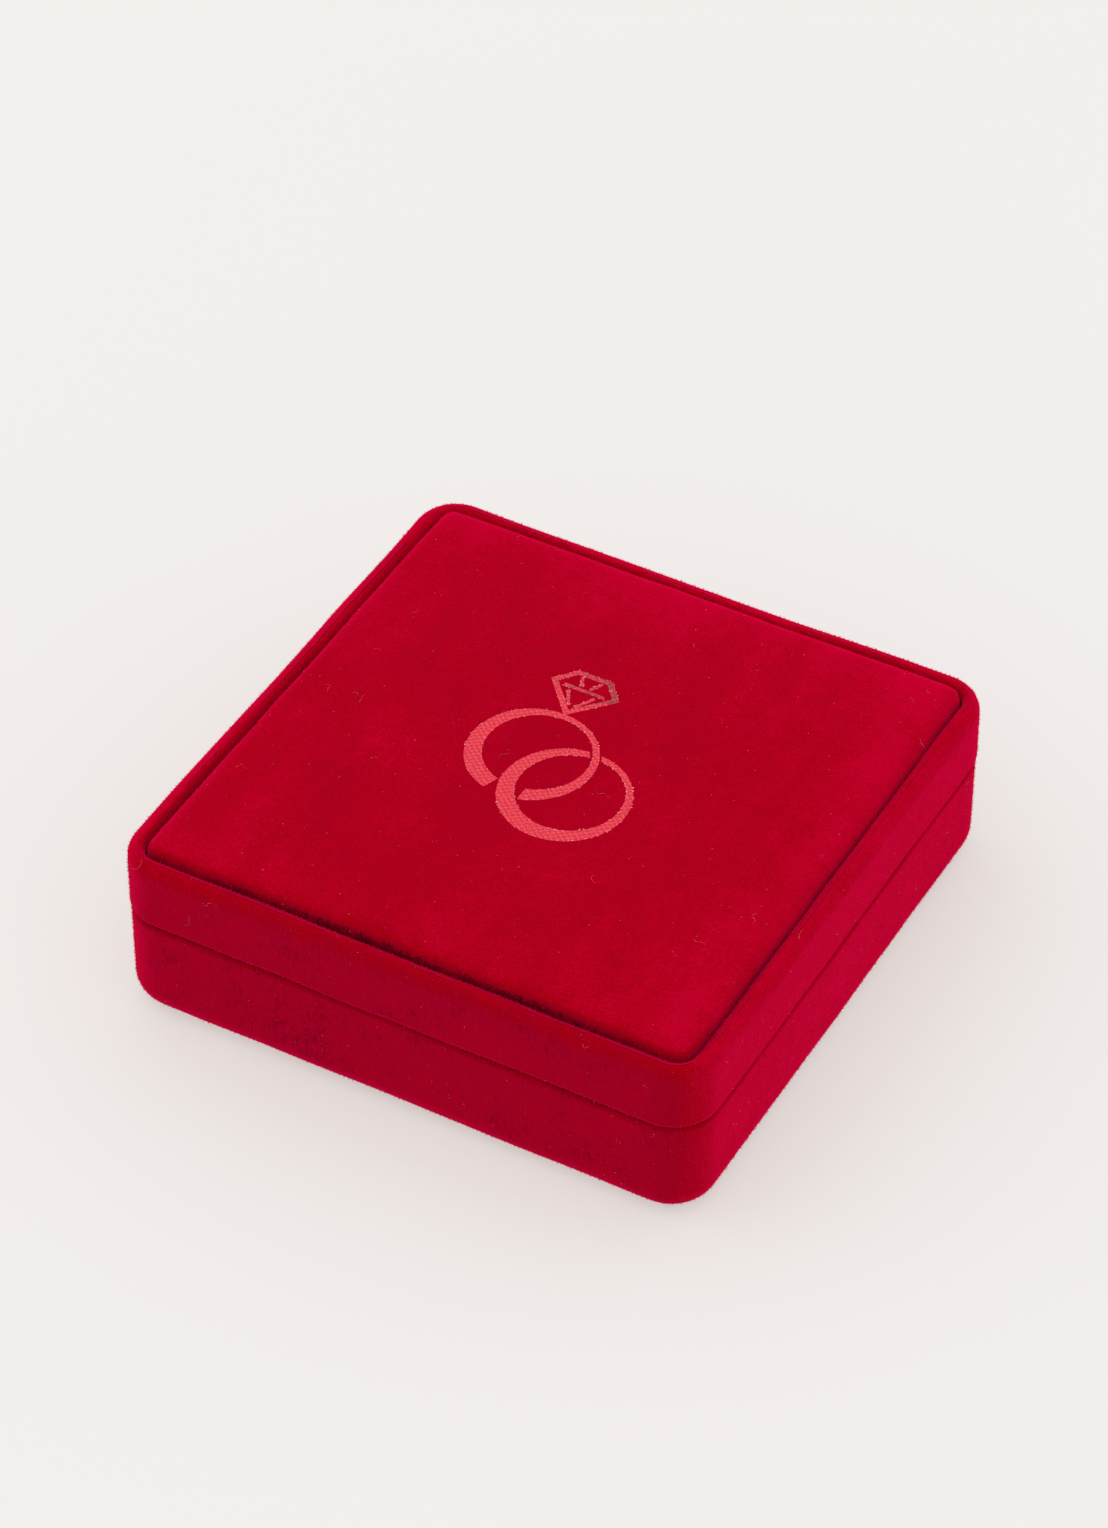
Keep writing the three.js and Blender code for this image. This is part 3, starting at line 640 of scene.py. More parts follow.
def panel_painted_light(points):
    """Painted sheen towards the back and the right edges, where the pad's edge slopes away and
    is seen at a glance, and even elsewhere: the sum of falling exponentials of the distance to
    each edge, less a painted shade in the groove at the front."""
    x, y = points[:, 0], points[:, 1]
    back = np.exp(-(PANEL_HALF - y) / (9 * MM))
    right = np.exp(-(PANEL_HALF - x) / (13 * MM))
    front = np.exp(-(PANEL_HALF + y) / (7 * MM))
    left = np.exp(-(PANEL_HALF + x) / (4 * MM))
    edge = edge_inset(x, y, PANEL_HALF, PANEL_RADIUS)
    groove_shade = (1 - smooth_step(0.1 * MM, 1.1 * MM, edge)) * smooth_step(-35 * MM, -46 * MM, y)
    # painted sheen near the edges and painted shade at the front groove; the wander is a random
    # tone
    return (-0.1 + 0.95 * back + 0.7 * right + 0.3 * front + 0.45 * left
            + wander(x, y, 0.07, 33) - 2.0 * groove_shade)


top_panel = make_top_panel()
store_painted_light(top_panel, panel_painted_light(get_points(top_panel)))
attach(top_panel, "lid")
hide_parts("panel_cover", "panel_foam")
print("top panel faces:", len(top_panel.data.polygons))

# %% [markdown]
# ## Foil ornament
# A hot die presses metal foil into the velvet. The design is two linked rings, one with a
# cut stone, drawn with a stroke that swells and thins like a pen's. Each part is a flat
# strip between two curves. It is laid on the panel by projecting it straight down, and then
# gets the foil's thickness. Where one ring passes under the other it stops short, as a
# stencilled line does.

# %% Foil strips
emblem_low, emblem_high = place("emblem")
RING_RADIUS = 10.4 * MM
STROKE = 1.9 * MM
SWELL = 0.95 * MM
SWELL_TOWARDS = math.radians(235)
CROSSING_GAP = 0.32 * MM
STONE_RING = np.array([-4.6, -0.6]) * MM
PLAIN_RING = np.array([4.2, -6.2]) * MM
STONE_WIDTH = 12 * MM
STONE_CROWN = 3.6 * MM
STONE_DEPTH = 6.8 * MM
FOIL = 0.03 * MM


def strip_between(first, second, across=5):
    """Points (n, across, 2) on straight lines from one curve to the other, and quads."""
    share = np.linspace(0, 1, across)[None, :, None]
    points = first[:, None] * (1 - share) + second[:, None] * share
    index = np.arange(points.shape[0] * across).reshape(-1, across)
    quads = grid_quads(index)
    return points.reshape(-1, 2), quads.reshape(-1, 4)


def ring_strip(centre, other, under):
    """A ring that is open round the point where it passes under the other. Its inner circle
    is moved off centre, so that the stroke swells on the far side. It starts and ends where
    its stroke comes within the gap of the other ring's band."""
    shift = -SWELL * np.array([math.cos(SWELL_TOWARDS), math.sin(SWELL_TOWARDS)])

    def curves(angle):
        circle = np.stack([np.cos(angle), np.sin(angle)], -1)
        return centre + shift + (RING_RADIUS - STROKE) * circle, centre + RING_RADIUS * circle

    at = math.atan2(under[1] - centre[1], under[0] - centre[0])
    offset = np.linspace(-np.pi / 4, np.pi / 4, 721)
    share = np.linspace(0, 1, 5)[:, None, None]
    inner, outer = curves(at + offset)
    band = inner * (1 - share) + outer * share
    near = ((np.linalg.norm(band - other, axis=-1) < RING_RADIUS + CROSSING_GAP)
            & (np.linalg.norm(band - other - shift, axis=-1)
               > RING_RADIUS - STROKE - CROSSING_GAP)).any(0)
    blocked = offset[near]
    return strip_between(*curves(np.linspace(at + blocked.max(),
                                             at + blocked.min() + 2 * np.pi, 190)))


def crossings():
    """The two points where the middles of the two rings' strokes meet."""
    apart = PLAIN_RING - STONE_RING
    middle = (PLAIN_RING + STONE_RING) / 2
    distance = np.linalg.norm(apart)
    rise = math.sqrt((RING_RADIUS - STROKE / 2) ** 2 - distance ** 2 / 4)
    across = np.array([-apart[1], apart[0]]) / distance
    return middle + rise * across, middle - rise * across


def line_strip(start, end, wide, narrow):
    """A straight stroke whose width runs from wide to narrow."""
    share = np.linspace(0, 1, 14)[:, None]
    along = start + (end - start) * share
    side = np.array([-(end - start)[1], (end - start)[0]]) / np.linalg.norm(end - start)
    half = (wide + (narrow - wide) * share) / 2
    return strip_between(along + side * half, along - side * half, 3)


def outline_strip(corners, width):
    """A closed stroke inside a polygon: each corner moves in along its mitre, and the edges
    are cut into short pieces. The first point is repeated at the end, then merged."""
    before = np.roll(corners, 1, axis=0) - corners
    after = np.roll(corners, -1, axis=0) - corners
    before /= np.linalg.norm(before, axis=1, keepdims=True)
    after /= np.linalg.norm(after, axis=1, keepdims=True)
    mitre = before + after
    mitre /= np.linalg.norm(mitre, axis=1, keepdims=True)
    sine = np.sqrt((1 - (before * after).sum(1)) / 2)
    inner = corners + mitre * (width / sine)[:, None]
    share = np.linspace(0, 1, 13)[:-1][None, :, None]

    def cut(ring):
        ahead = np.roll(ring, -1, axis=0)
        points = (ring[:, None] * (1 - share) + ahead[:, None] * share).reshape(-1, 2)
        return np.concatenate([points, points[:1]])

    return strip_between(cut(inner), cut(corners), 4)


def stone_strips():
    """The stone from the side: its outline, the girdle line, and the edges of its facets,
    which stop a little short of the lines that they meet."""
    x, foot = STONE_RING[0], STONE_RING[1] + RING_RADIUS - 0.25 * MM
    girdle = foot + STONE_DEPTH
    half, table = STONE_WIDTH / 2, STONE_WIDTH / 4
    crown = girdle + STONE_CROWN
    corners = np.array([[x, foot], [x + half, girdle], [x + table, crown],
                        [x - table, crown], [x - half, girdle]])
    width, fine, rest = 0.95 * MM, 0.62 * MM, 1.2 * MM
    strips = [outline_strip(corners, width)]
    left, right = x - half + 2.5 * MM, x + half - 2.5 * MM
    strips.append(line_strip(np.array([left, girdle - 0.35 * MM]),
                             np.array([right, girdle - 0.35 * MM]), 0.75 * MM, 0.55 * MM))
    for sign in (-1, 1):
        knee = np.array([x + sign * 2.3 * MM, girdle - rest])
        tip = np.array([x + sign * 0.55 * MM, foot + 2.4 * MM])
        strips.append(line_strip(knee, tip, fine, 0.4 * MM))
        low = np.array([x + sign * 0.75 * MM, girdle + 0.35 * MM])
        high = np.array([x + sign * 1.75 * MM, crown - rest])
        strips.append(line_strip(low, high, fine, 0.5 * MM))
    return strips


def make_foil():
    """All strips in one mesh above the panel, projected down on it and thickened."""
    upper, lower = crossings()
    strips = [ring_strip(STONE_RING, PLAIN_RING, lower),
              ring_strip(PLAIN_RING, STONE_RING, upper)] + stone_strips()
    points, quads, start = [], [], 0
    for flat, faces in strips:
        points.append(np.column_stack([flat, np.full(len(flat), emblem_high[2] + 3 * MM)]))
        quads.append(faces + start)
        start += len(flat)
    foil = link_mesh("ornament_foil", np.concatenate(points), np.concatenate(quads))
    apply_modifier(foil, "WELD", merge_threshold=MERGE)
    foil.data.flip_normals() if foil.data.polygons[0].normal.z < 0 else None
    apply_modifier(foil, "SHRINKWRAP", target=top_panel, wrap_method="PROJECT",
                   use_project_z=True, use_negative_direction=True,
                   use_positive_direction=False, offset=0.01 * MM)
    apply_modifier(foil, "SOLIDIFY", thickness=FOIL, offset=0)
    foil.data.shade_flat()
    return foil


foil = make_foil()
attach(foil, "lid")
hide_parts("emblem")
low, high = get_points(foil).min(0), get_points(foil).max(0)
print("foil from", (low / MM).round(1), "to", (high / MM).round(1), "mm,",
      len(foil.data.polygons), "faces")

# %% [markdown]
# ## Glints on the foil's edge
# Where the die's edge cut the foil, crumbs of it stand up among the pile and sparkle with
# real reflections; their near-white tone is a painted glint. They are flat four-sided flakes
# turned every way, drawn along the strips' edges.

# %% Glints
def make_glints(count=420, seed=64):
    """Flakes: four points about a centre on a strip's edge, pushed to random sides."""
    draw = np.random.default_rng(seed)
    mesh = foil.data
    points = get_points(foil)
    pairs = np.zeros(len(mesh.edges) * 2, np.int32)
    mesh.edges.foreach_get("vertices", pairs)
    pairs = pairs.reshape(-1, 2)
    apart = points[pairs[:, 0]] - points[pairs[:, 1]]
    upright = np.abs(apart[:, 2]) > 0.7 * np.linalg.norm(apart, axis=1)
    rim = points[pairs[upright]].mean(1)
    spot = rim[draw.integers(0, len(rim), count)]
    spot = spot + draw.normal(0, 0.07, (count, 3)) * MM * [1, 1, 0.3] + [0, 0, 0.04 * MM]
    corners = np.array([[1, 0, -0.3], [-1, 0, -0.3], [0, 0.8, 0.3], [0, -0.8, 0.3]])
    size = draw.uniform(0.07, 0.17, (count, 1, 1)) * MM
    turned = corners[None] * draw.uniform(0.4, 1, (count, 1, 3))
    angle = draw.uniform(0, 2 * np.pi, (count, 1))
    x = turned[..., 0] * np.cos(angle) - turned[..., 1] * np.sin(angle)
    y = turned[..., 0] * np.sin(angle) + turned[..., 1] * np.cos(angle)
    flakes = spot[:, None] + np.stack([x, y, turned[..., 2]], -1) * size
    faces = np.arange(count)[:, None, None] * 4 + np.array([[0, 1, 2], [0, 3, 1], [0, 2, 3],
                                                            [1, 3, 2]])
    return link_mesh("foil_glints", flakes, faces, smooth=False)


glints = make_glints()
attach(glints, "lid")

# %% [markdown]
# ## Ring pad
# A foam block under velvet, with two slots that grip ring bands. The foam lifts the cloth
# between its glued edges and the slots. The slots are cut as a height: at the rim it rounds
# over, and then it falls to the card within a tenth of a millimetre, so the grid has extra
# lines along the slots' edges.

# %% Ring pad
pad_low, pad_high = place("pad_cover")
pad_card_high = place("pad_board")[1]
PAD_HALF = pad_high[0]
PAD_RADIUS = CORNER - (HALF - PAD_HALF)
PAD_SHOULDER = 2.0 * MM
SLOT_LENGTH, SLOT_WIDTH, SLOT_SPACING = 26 * MM, 4.4 * MM, 36 * MM
SLOT_HALF = (SLOT_LENGTH / 2, SLOT_WIDTH / 2)
LIP = 1.1 * MM
SKIRT_LINES = (9 * MM, 5 * MM)


def slot_distance(x, y):
    """Distance to the nearer slot's rim, negative inside it."""
    across = np.abs(np.abs(x) - SLOT_SPACING / 2)
    along = np.abs(y)
    over = np.stack([across - SLOT_HALF[0], along - SLOT_HALF[1]], -1)
    outside = np.linalg.norm(np.clip(over, 0, None), axis=-1)
    return outside + np.clip(over.max(-1), None, 0)


def pad_held(x, y):
    """Glued outside the flat top and round the slots."""
    return ((edge_inset(x, y, PAD_HALF, PAD_RADIUS) < PAD_SHOULDER)
            | (slot_distance(x, y) < LIP))


pad_lift = sheet_lift("pad_sheet", PAD_HALF, pad_held, 6, 0.9 * MM)


def pad_height(x, y):
    """Pad top with its lift and wander; near a slot it rounds over by a quarter circle, and
    inside the slot it falls to just above the card."""
    top = (pad_high[2] - 0.1 * MM + read_heights(pad_lift, PAD_HALF, x, y)
           + wander(x, y, 0.05 * MM, 41))
    away = slot_distance(x, y)
    inward = LIP - np.clip(away, 0, LIP)
    rim = top - LIP + np.sqrt(LIP ** 2 - inward ** 2)
    floor = pad_card_high[2] + 0.15 * MM
    fall = smooth_step(0, 0.14 * MM, -away)
    return np.where(away > 0, rim, rim * (1 - fall) + floor * fall)


def lines_with(marks, half, step, offsets):
    """Even lines from -1 to 1, with those near a mark replaced by lines at mark + offsets."""
    close = np.concatenate([mark + offsets for mark in marks])
    even = np.linspace(-half, half, int(2 * half / step) + 1)
    gap = np.abs(even[:, None] - close[None]).min(1)
    return np.sort(np.concatenate([even[gap > 0.45 * step], close])) / half


def make_ring_pad():
    """Lines crowd at the slots' rims, on the outer side of each for the round lip."""
    outward = np.array([1.5, 1.05, 0.75, 0.5, 0.3, 0.12, 0.02, -0.04, -0.09, -0.15, -0.4]) * MM
    flat_half = PAD_HALF - PAD_SHOULDER
    ends = [SLOT_SPACING / 2 - SLOT_HALF[0], SLOT_SPACING / 2 + SLOT_HALF[0]]
    signs = [-1, 1]
    marks_x = np.concatenate([side * (end + sign * outward) for side in (-1, 1)
                              for end, sign in zip(ends, signs)])
    marks_y = np.concatenate([side * (SLOT_HALF[1] + outward) for side in (-1, 1)])
    lines = (lines_with([0], flat_half, 1.5 * MM, marks_x),
             lines_with([0], flat_half, 1.5 * MM, marks_y))
    side = shoulder(PAD_SHOULDER, pad_high[2] - 0.1 * MM, 6)
    side += [(0, SKIRT_LINES[0], 0), (0, SKIRT_LINES[1], 0), (0.1 * MM, pad_low[2] + 0.3 * MM, 0)]
    card = PAD_HALF - pad_card_high[0] - CARD_GAP
    side += [(0.3 * MM, pad_low[2] + 0.03 * MM, 0), (card, pad_low[2] + 0.03 * MM, 0)]
    side += [(card, pad_card_high[2] + CARD_GAP, 0)]
    pad = pad_mesh("ring_pad", lines, PAD_HALF, PAD_RADIUS, side, pad_height)
    subdivide(pad)
    return pad


ring_pad = make_ring_pad()
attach(ring_pad, "base")
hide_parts("pad_cover", "pad_foam")
print("ring pad faces:", len(ring_pad.data.polygons))

# %% [markdown]
# ## Wall linings
# Inside, a strip of card covered in velvet lines the tray, and one covered in satin lines
# the lid. Both are wraps like the covers. The satin is gathered a little, so its face has
# shallow upright folds.

# %% Wall linings
def make_wall_lining(name, node, edge_up, gathers, seed):
    """A strip's section: outer face, round free edge, inner face with gathers."""
    low, high = place(node)
    outer = HALF - high[0] + 0.02 * MM
    inner = outer + 0.96 * MM + ripple(run, lap, (60, 105), gathers, seed)
    free = high[2] if edge_up else low[2]
    glued = low[2] + 0.02 * MM if edge_up else high[2] - 0.02 * MM
    free = free + ripple(run, lap, (5, 24), 0.06 * MM, seed + 1)
    sign = 1 if edge_up else -1
    radius = 0.45 * MM
    turn = free - sign * radius
    angles = (180, 90, 0) if edge_up else (180, 270, 360)
    section = [
        straight_run(lane(outer, glued), lane(outer, turn), 6),
        bend(lane(outer + radius, turn), radius, angles[0], angles[1], 4),
        bend(lane(inner - radius, turn), radius, angles[1], angles[2], 4),
        straight_run(lane(inner, turn), lane(inner, glued), 8),
        straight_run(lane(inner, glued), lane(outer, glued), 2),
    ]
    section = np.concatenate(section, axis=1)
    return wrap(name, section[:, ::-1] if not edge_up else section)


base_lining = make_wall_lining("base_wall_velvet", "base_lining", True, 0.02 * MM, 51)
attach(base_lining, "base")
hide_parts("base_lining")

lid_lining = make_wall_lining("lid_wall_satin", "lid_wall_lining", False, 0.07 * MM, 53)
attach(lid_lining, "lid")
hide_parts("lid_wall_lining")

# %% [markdown]
# ## Satin pad in the lid
# The lid's ceiling is satin over wadding over a thin card. The wadding lifts it in the
# middle, and the cloth is gathered where it turns over the card, so short creases run in
# from the edge and die out.

# %% Satin pad
satin_low, satin_high = place("lining_cover")
satin_card_low, satin_card_high = place("lining_board")
SATIN_HALF = satin_high[0]
SATIN_RADIUS = CORNER - (HALF - SATIN_HALF)
SATIN_SHOULDER = 0.9 * MM
CREASE_REACH = 8 * MM


def satin_held(x, y):
    return edge_inset(x, y, SATIN_HALF, SATIN_RADIUS) < SATIN_SHOULDER


satin_lift = sheet_lift("satin_sheet", SATIN_HALF, satin_held, 5, 0.8 * MM)


def satin_height(x, y):
    """Height below the ceiling, mirrored up: lift less creases. A crease follows the edge's
    own direction and fades by (1 - inset / reach)^2."""
    inset = edge_inset(x, y, SATIN_HALF, SATIN_RADIUS)
    along = np.where(np.abs(x) > np.abs(y), y, x)
    side = 2.0 * (np.abs(x) > np.abs(y)) + (x + y > 0)
    wave = (np.cos(2 * np.pi * along / (3.1 * MM) + side) * 0.6
            + np.cos(2 * np.pi * along / (4.7 * MM) + 2.1 * side) * 0.4)
    fade = np.clip(1 - inset / CREASE_REACH, 0, 1) ** 2 * smooth_step(0, 1.2 * MM, inset)
    return (-satin_low[2] - 0.1 * MM + read_heights(satin_lift, SATIN_HALF, x, y)
            + 0.11 * MM * wave * fade)


def make_satin_pad():
    side = shoulder(SATIN_SHOULDER, -satin_low[2] - 0.1 * MM, 5)
    side += [(0, -satin_high[2] + 0.2 * MM, 0), (0.1 * MM, -satin_high[2] + 0.03 * MM, 0)]
    card = SATIN_HALF - satin_card_high[0] - CARD_GAP
    side += [(card, -satin_high[2] + 0.03 * MM, 0), (card, -satin_card_low[2] + CARD_GAP, 0)]
    line = np.linspace(-1, 1, 104)
    pad = pad_mesh("lid_pad_satin", (line, line), SATIN_HALF, SATIN_RADIUS, side,
                   satin_height, up=-1)
    subdivide(pad)
    return pad


satin_pad = make_satin_pad()
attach(satin_pad, "lid")
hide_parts("lining_cover", "lining_wadding")
print("satin pad faces:", len(satin_pad.data.polygons))

# %% [markdown]
# ## Underside
# A card covered in flock closes the bottom and hides the turned-in velvet. It is cut by
# hand, so its edge is slightly soft.

# %% Underside
under_low, under_high = place("bottom_panel")
UNDER_HALF = under_high[0]
UNDER_RADIUS = 3.2 * MM
under_round = 0.22 * MM
rows = shoulder(under_round, -under_low[2], 4)
rows += [(0, -under_high[2] + 0.2 * MM, 0), (0.15 * MM, -under_high[2], 0)]


def under_height(x, y):
    """The flat underside, hollow by up to a twentieth of a millimetre."""
    return -under_low[2] - np.abs(wander(x, y, 0.025 * MM, 61)) * (
        edge_inset(x, y, UNDER_HALF, UNDER_RADIUS) > 2 * MM)


line = np.linspace(-1, 1, 40)
underside = pad_mesh("underside_panel", (line, line), UNDER_HALF, UNDER_RADIUS, rows,
                     under_height, up=-1)
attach(underside, "base")
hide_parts("bottom_panel")

# %% [markdown]
# ## Pile fibres and lint
# Velvet's pile ends stand out along every fold, and a red velvet box always carries pale
# lint. The pile is thousands of four-sided slivers, thick where they are rooted and pointed
# at the tip. The lint is a few dozen thin curled fibres and a dusting of short bits. Each is
# placed by drawing faces of the velvet by area.

# %% Where fibres stand
def face_table(piece):
    """Centres, outward normals and areas of a piece's faces."""
    count = len(piece.data.polygons)
    centre, normal = np.zeros(count * 3, np.float32), np.zeros(count * 3, np.float32)
    area = np.zeros(count, np.float32)
    piece.data.polygons.foreach_get("center", centre)
    piece.data.polygons.foreach_get("normal", normal)
    piece.data.polygons.foreach_get("area", area)
    return centre.reshape(-1, 3).astype(float), normal.reshape(-1, 3).astype(float), area


def shown_from_outside(centre, normal):
    """1 for the faces of the closed box's skin, 0 for turned-in and glued faces."""
    reach = np.max(np.abs(centre[:, :2]), axis=1)
    corner = np.clip(np.abs(centre[:, :2]) - (HALF - CORNER), 0, None)
    inset = np.where(corner.min(1) > 0, CORNER - np.linalg.norm(corner, axis=1), HALF - reach)
    outward = (normal[:, :2] * centre[:, :2]).sum(1)
    wall = (inset < 1.2 * MM) & (outward > 0.15 * HALF * np.abs(normal[:, :2]).max(1))
    return wall | ((centre[:, 2] > lid_high[2] - 1.8 * MM) & (normal[:, 2] > 0.25))


def draw_places(pieces, count, draw, folds=0.0):
    """Points and normals on the shown faces, by area. folds adds weight where the skin curves
    away from level and upright, which is where pile stands out."""
    tables = [face_table(piece) for piece in pieces]
    centre, normal, area = (np.concatenate(part) for part in zip(*tables))
    slant = 1 - np.max(np.abs(normal), axis=1)
    weight = area * shown_from_outside(centre, normal) * (1 + folds * slant)
    pick = draw.choice(len(area), count, p=weight / weight.sum())
    centre, normal, area = centre[pick], normal[pick], area[pick]
    side = np.cross(normal, draw.normal(size=(count, 3)))
    side /= np.linalg.norm(side, axis=1, keepdims=True)
    jitter = draw.uniform(-0.5, 0.5, (count, 1)) * np.sqrt(area)[:, None]
    return centre + side * jitter, normal, side


def clear_of_foil(points):
    """False over the ornament, where the die has pressed the pile flat."""
    on_top = points[:, 2] > lid_high[2] + 0.4 * MM
    near = np.zeros(len(points), bool)
    for centre in (STONE_RING, PLAIN_RING):
        reach = np.linalg.norm(points[:, :2] - centre, axis=1)
        near |= np.abs(reach - RING_RADIUS + STROKE / 2) < 1.3 * MM
    top_left = STONE_RING + [-STONE_WIDTH / 2, RING_RADIUS - 1 * MM]
    top_right = STONE_RING + [STONE_WIDTH / 2, RING_RADIUS + STONE_DEPTH + STONE_CROWN]
    near |= ((points[:, :2] > top_left) & (points[:, :2] < top_right)).all(1)
    return ~(on_top & near)


def clear_places(pieces, count, draw, folds=0.0):
    """draw_places without those over the ornament."""
    places = draw_places(pieces, count, draw, folds)
    keep = clear_of_foil(places[0])
    return [part[keep] for part in places]


# %% Pile
PILE_LID, PILE_BASE = 49000, 32000


def make_pile(name, pieces, count, seed, height=0.33 * MM, root=0.04 * MM):
    """Slivers: three root points a little under the skin and a tip, leaning at random."""
    draw = np.random.default_rng(seed)
    place_at, normal, side = clear_places(pieces, count, draw, folds=9)
    total = len(place_at)
    other = np.cross(normal, side)
    angle = np.array([0, 2, 4]) * np.pi / 3
    ring = (np.cos(angle)[None, :, None] * side[:, None]
            + np.sin(angle)[None, :, None] * other[:, None])
    foot = (place_at - 0.04 * MM * normal)[:, None] + ring * root
    lean = draw.normal(0, 0.55, (total, 2))
    tall = height * draw.uniform(0.45, 1.25, (total, 1))
    tip = place_at + tall * (normal + lean[:, :1] * side + lean[:, 1:] * other) * 0.85
    points = np.concatenate([foot, tip[:, None]], axis=1)
    corners = np.array([[0, 1, 3], [1, 2, 3], [2, 0, 3], [2, 1, 0]])
    faces = np.arange(total)[:, None, None] * 4 + corners[None]
    pile = link_mesh(name, points, faces.reshape(-1, 3), smooth=False)
    print(name, "slivers:", total)
    return pile


pile_lid = make_pile("pile_lid", [lid_velvet, top_panel], PILE_LID, 71)
pile_base = make_pile("pile_base", [base_velvet], PILE_BASE, 72)

# %% Lint
def make_lint(name, pieces, count, lengths, radius, seed, steps=9):
    """Curled fibres: a line in the skin's plane, bent by two seeded sines and lifted off the
    skin at its middle; three-sided, with pointed ends."""
    draw = np.random.default_rng(seed)
    root, normal, side = clear_places(pieces, count, draw)
    total = len(root)
    other = np.cross(normal, side)
    t = np.linspace(-0.5, 0.5, steps)[None, :, None]
    length = draw.uniform(*lengths, (total, 1, 1))
    bow = length * draw.uniform(-0.45, 0.45, (total, 1, 1))
    curl = length * draw.uniform(-0.16, 0.16, (total, 1, 1))
    phase = draw.uniform(0, 2 * np.pi, (total, 1, 1))
    lift = 0.05 * MM + length * draw.uniform(0.02, 0.12, (total, 1, 1))
    path = (root[:, None] + length * t * side[:, None]
            + (bow * (4 * t * t - 1) + curl * np.sin(9 * t + phase)) * other[:, None]
            + lift * (0.4 + np.cos(np.pi * t)) * normal[:, None])
    thick = radius * (1.02 - (2 * np.abs(t)) ** 6)
    angle = (np.array([0, 2, 4]) * np.pi / 3)[None, None, :, None]
    ring = np.cos(angle) * normal[:, None, None] + np.sin(angle) * other[:, None, None]
    points = path[:, :, None] + thick[..., None] * ring
    index = np.arange(steps * 3).reshape(steps, 3)
    turned = np.roll(index, -1, axis=1)
    quads = np.stack([index[:-1], index[1:], turned[1:], turned[:-1]], -1).reshape(-1, 4)
    offset = np.arange(total)[:, None, None] * steps * 3
    caps = np.array([[0, 1, 2], index[-1][::-1]])
    return link_mesh(name, points, quads + offset, True, caps + offset)


LINT = ((1.2 * MM, 2.8 * MM), (1.0 * MM, 2.2 * MM))
BITS = (0.1 * MM, 0.34 * MM)
LINT_THICK, BIT_THICK = 0.008 * MM, 0.014 * MM
lid_skin, base_skin = [lid_velvet, top_panel], [base_velvet]
lint_lid = make_lint("lint_lid", lid_skin, 26, LINT[0], LINT_THICK, 81)
lint_base = make_lint("lint_base", base_skin, 9, LINT[1], LINT_THICK, 82)
bits_lid = make_lint("lint_bits_lid", lid_skin, 420, BITS, BIT_THICK, 83, 4)
bits_base = make_lint("lint_bits_base", base_skin, 260, BITS, BIT_THICK, 84, 4)
for piece, body in ((pile_lid, "lid"), (lint_lid, "lid"), (bits_lid, "lid"),
                    (pile_base, "base"), (lint_base, "base"), (bits_base, "base")):
    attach(piece, body)

# %% [markdown]
# ## Finishes
# Each finish is a small node tree on Object coordinates, so its grain has a real size in
# metres and stays put when the lid turns. The helper below only saves typing: it makes a
# node, sets its plain inputs and joins its linked ones.

# %% Node helper
class Finish:
    """A material with a Principled shader and the object's own coordinates."""

    def __init__(self, name):
        self.material = bpy.data.materials.new(name)
        self.material.use_nodes = True
        self.tree = self.material.node_tree
        self.shader = self.tree.nodes["Principled BSDF"]
        self.spot = self.tree.nodes.new("ShaderNodeTexCoord").outputs["Object"]

    def put(self, node, name, value):
        """Links an output, or sets a plain value."""
        socket = node.inputs[name]
        if isinstance(value, bpy.types.NodeSocket):
            self.tree.links.new(value, socket)
        else:
            socket.default_value = value

    def node(self, kind, inputs, **settings):
        """A new node with its settings and inputs."""
        new = self.tree.nodes.new("ShaderNode" + kind)
        for key, value in settings.items():
            setattr(new, key, value)
        for key, value in inputs.items():
            self.put(new, key, value)
        return new

    def surface(self, **inputs):
        """Sets the shader's own inputs; an underscore stands for a space."""
        for key, value in inputs.items():
            self.put(self.shader, key.replace("_", " "), value)

    def no_gloss(self):
        """Turns the shader's mirror-like part off; cloth and paper have none."""
        self.shader.inputs["Specular IOR Level"].default_value = 0.0

    def noise(self, size, detail=2.0, stretch=None, turn=(0, 0, 0)):
        """Noise whose patches are about size metres, stretched by a factor along each axis."""
        spot = self.spot
        if stretch:
            spot = self.node("Mapping", {"Vector": spot, "Rotation": turn,
                                         "Scale": stretch}, vector_type="POINT").outputs[0]
        return self.node("TexNoise", {"Vector": spot, "Scale": 1 / size,
                                      "Detail": detail}).outputs["Fac"]

    def range(self, value, low, high, to_low, to_high):
        """Maps low..high to to_low..to_high and stops at the ends."""
        return self.node("MapRange", {"Value": value, "From Min": low, "From Max": high,
                                      "To Min": to_low, "To Max": to_high}).outputs[0]

    def math(self, operation, first, second=0.0):
        return self.node("Math", {0: first, 1: second}, operation=operation).outputs[0]

    def mix(self, share, first, second):
        """A mix of two colours."""
        new = self.tree.nodes.new("ShaderNodeMix")
        new.data_type = "RGBA"
        self.put(new, "Factor", share)
        for socket, value in ((6, first), (7, second)):
            self.put(new, socket, value)
        return new.outputs[2]

    def bump(self, height, depth, strength=1.0):
        """A bump whose height 1 stands for depth metres."""
        node = self.node("Bump", {"Height": height, "Distance": depth, "Strength": strength})
        self.put(self.shader, "Normal", node.outputs[0])


def colour(red, green, blue):
    """A screen colour 0..255 as linear light."""
    part = np.array([red, green, blue]) / 255
    linear = np.where(part <= 0.04045, part / 12.92, ((part + 0.055) / 1.055) ** 2.4)
    return (*linear.tolist(), 1.0)


def dress(finish, *pieces):
    """Gives pieces, or model nodes by name, one finish in every material slot."""
    for piece in pieces:
        target = frame["nodes"][piece] if isinstance(piece, str) else piece
        if not target.material_slots:
            target.data.materials.append(finish.material)
        for slot in target.material_slots:
            slot.material = finish.material


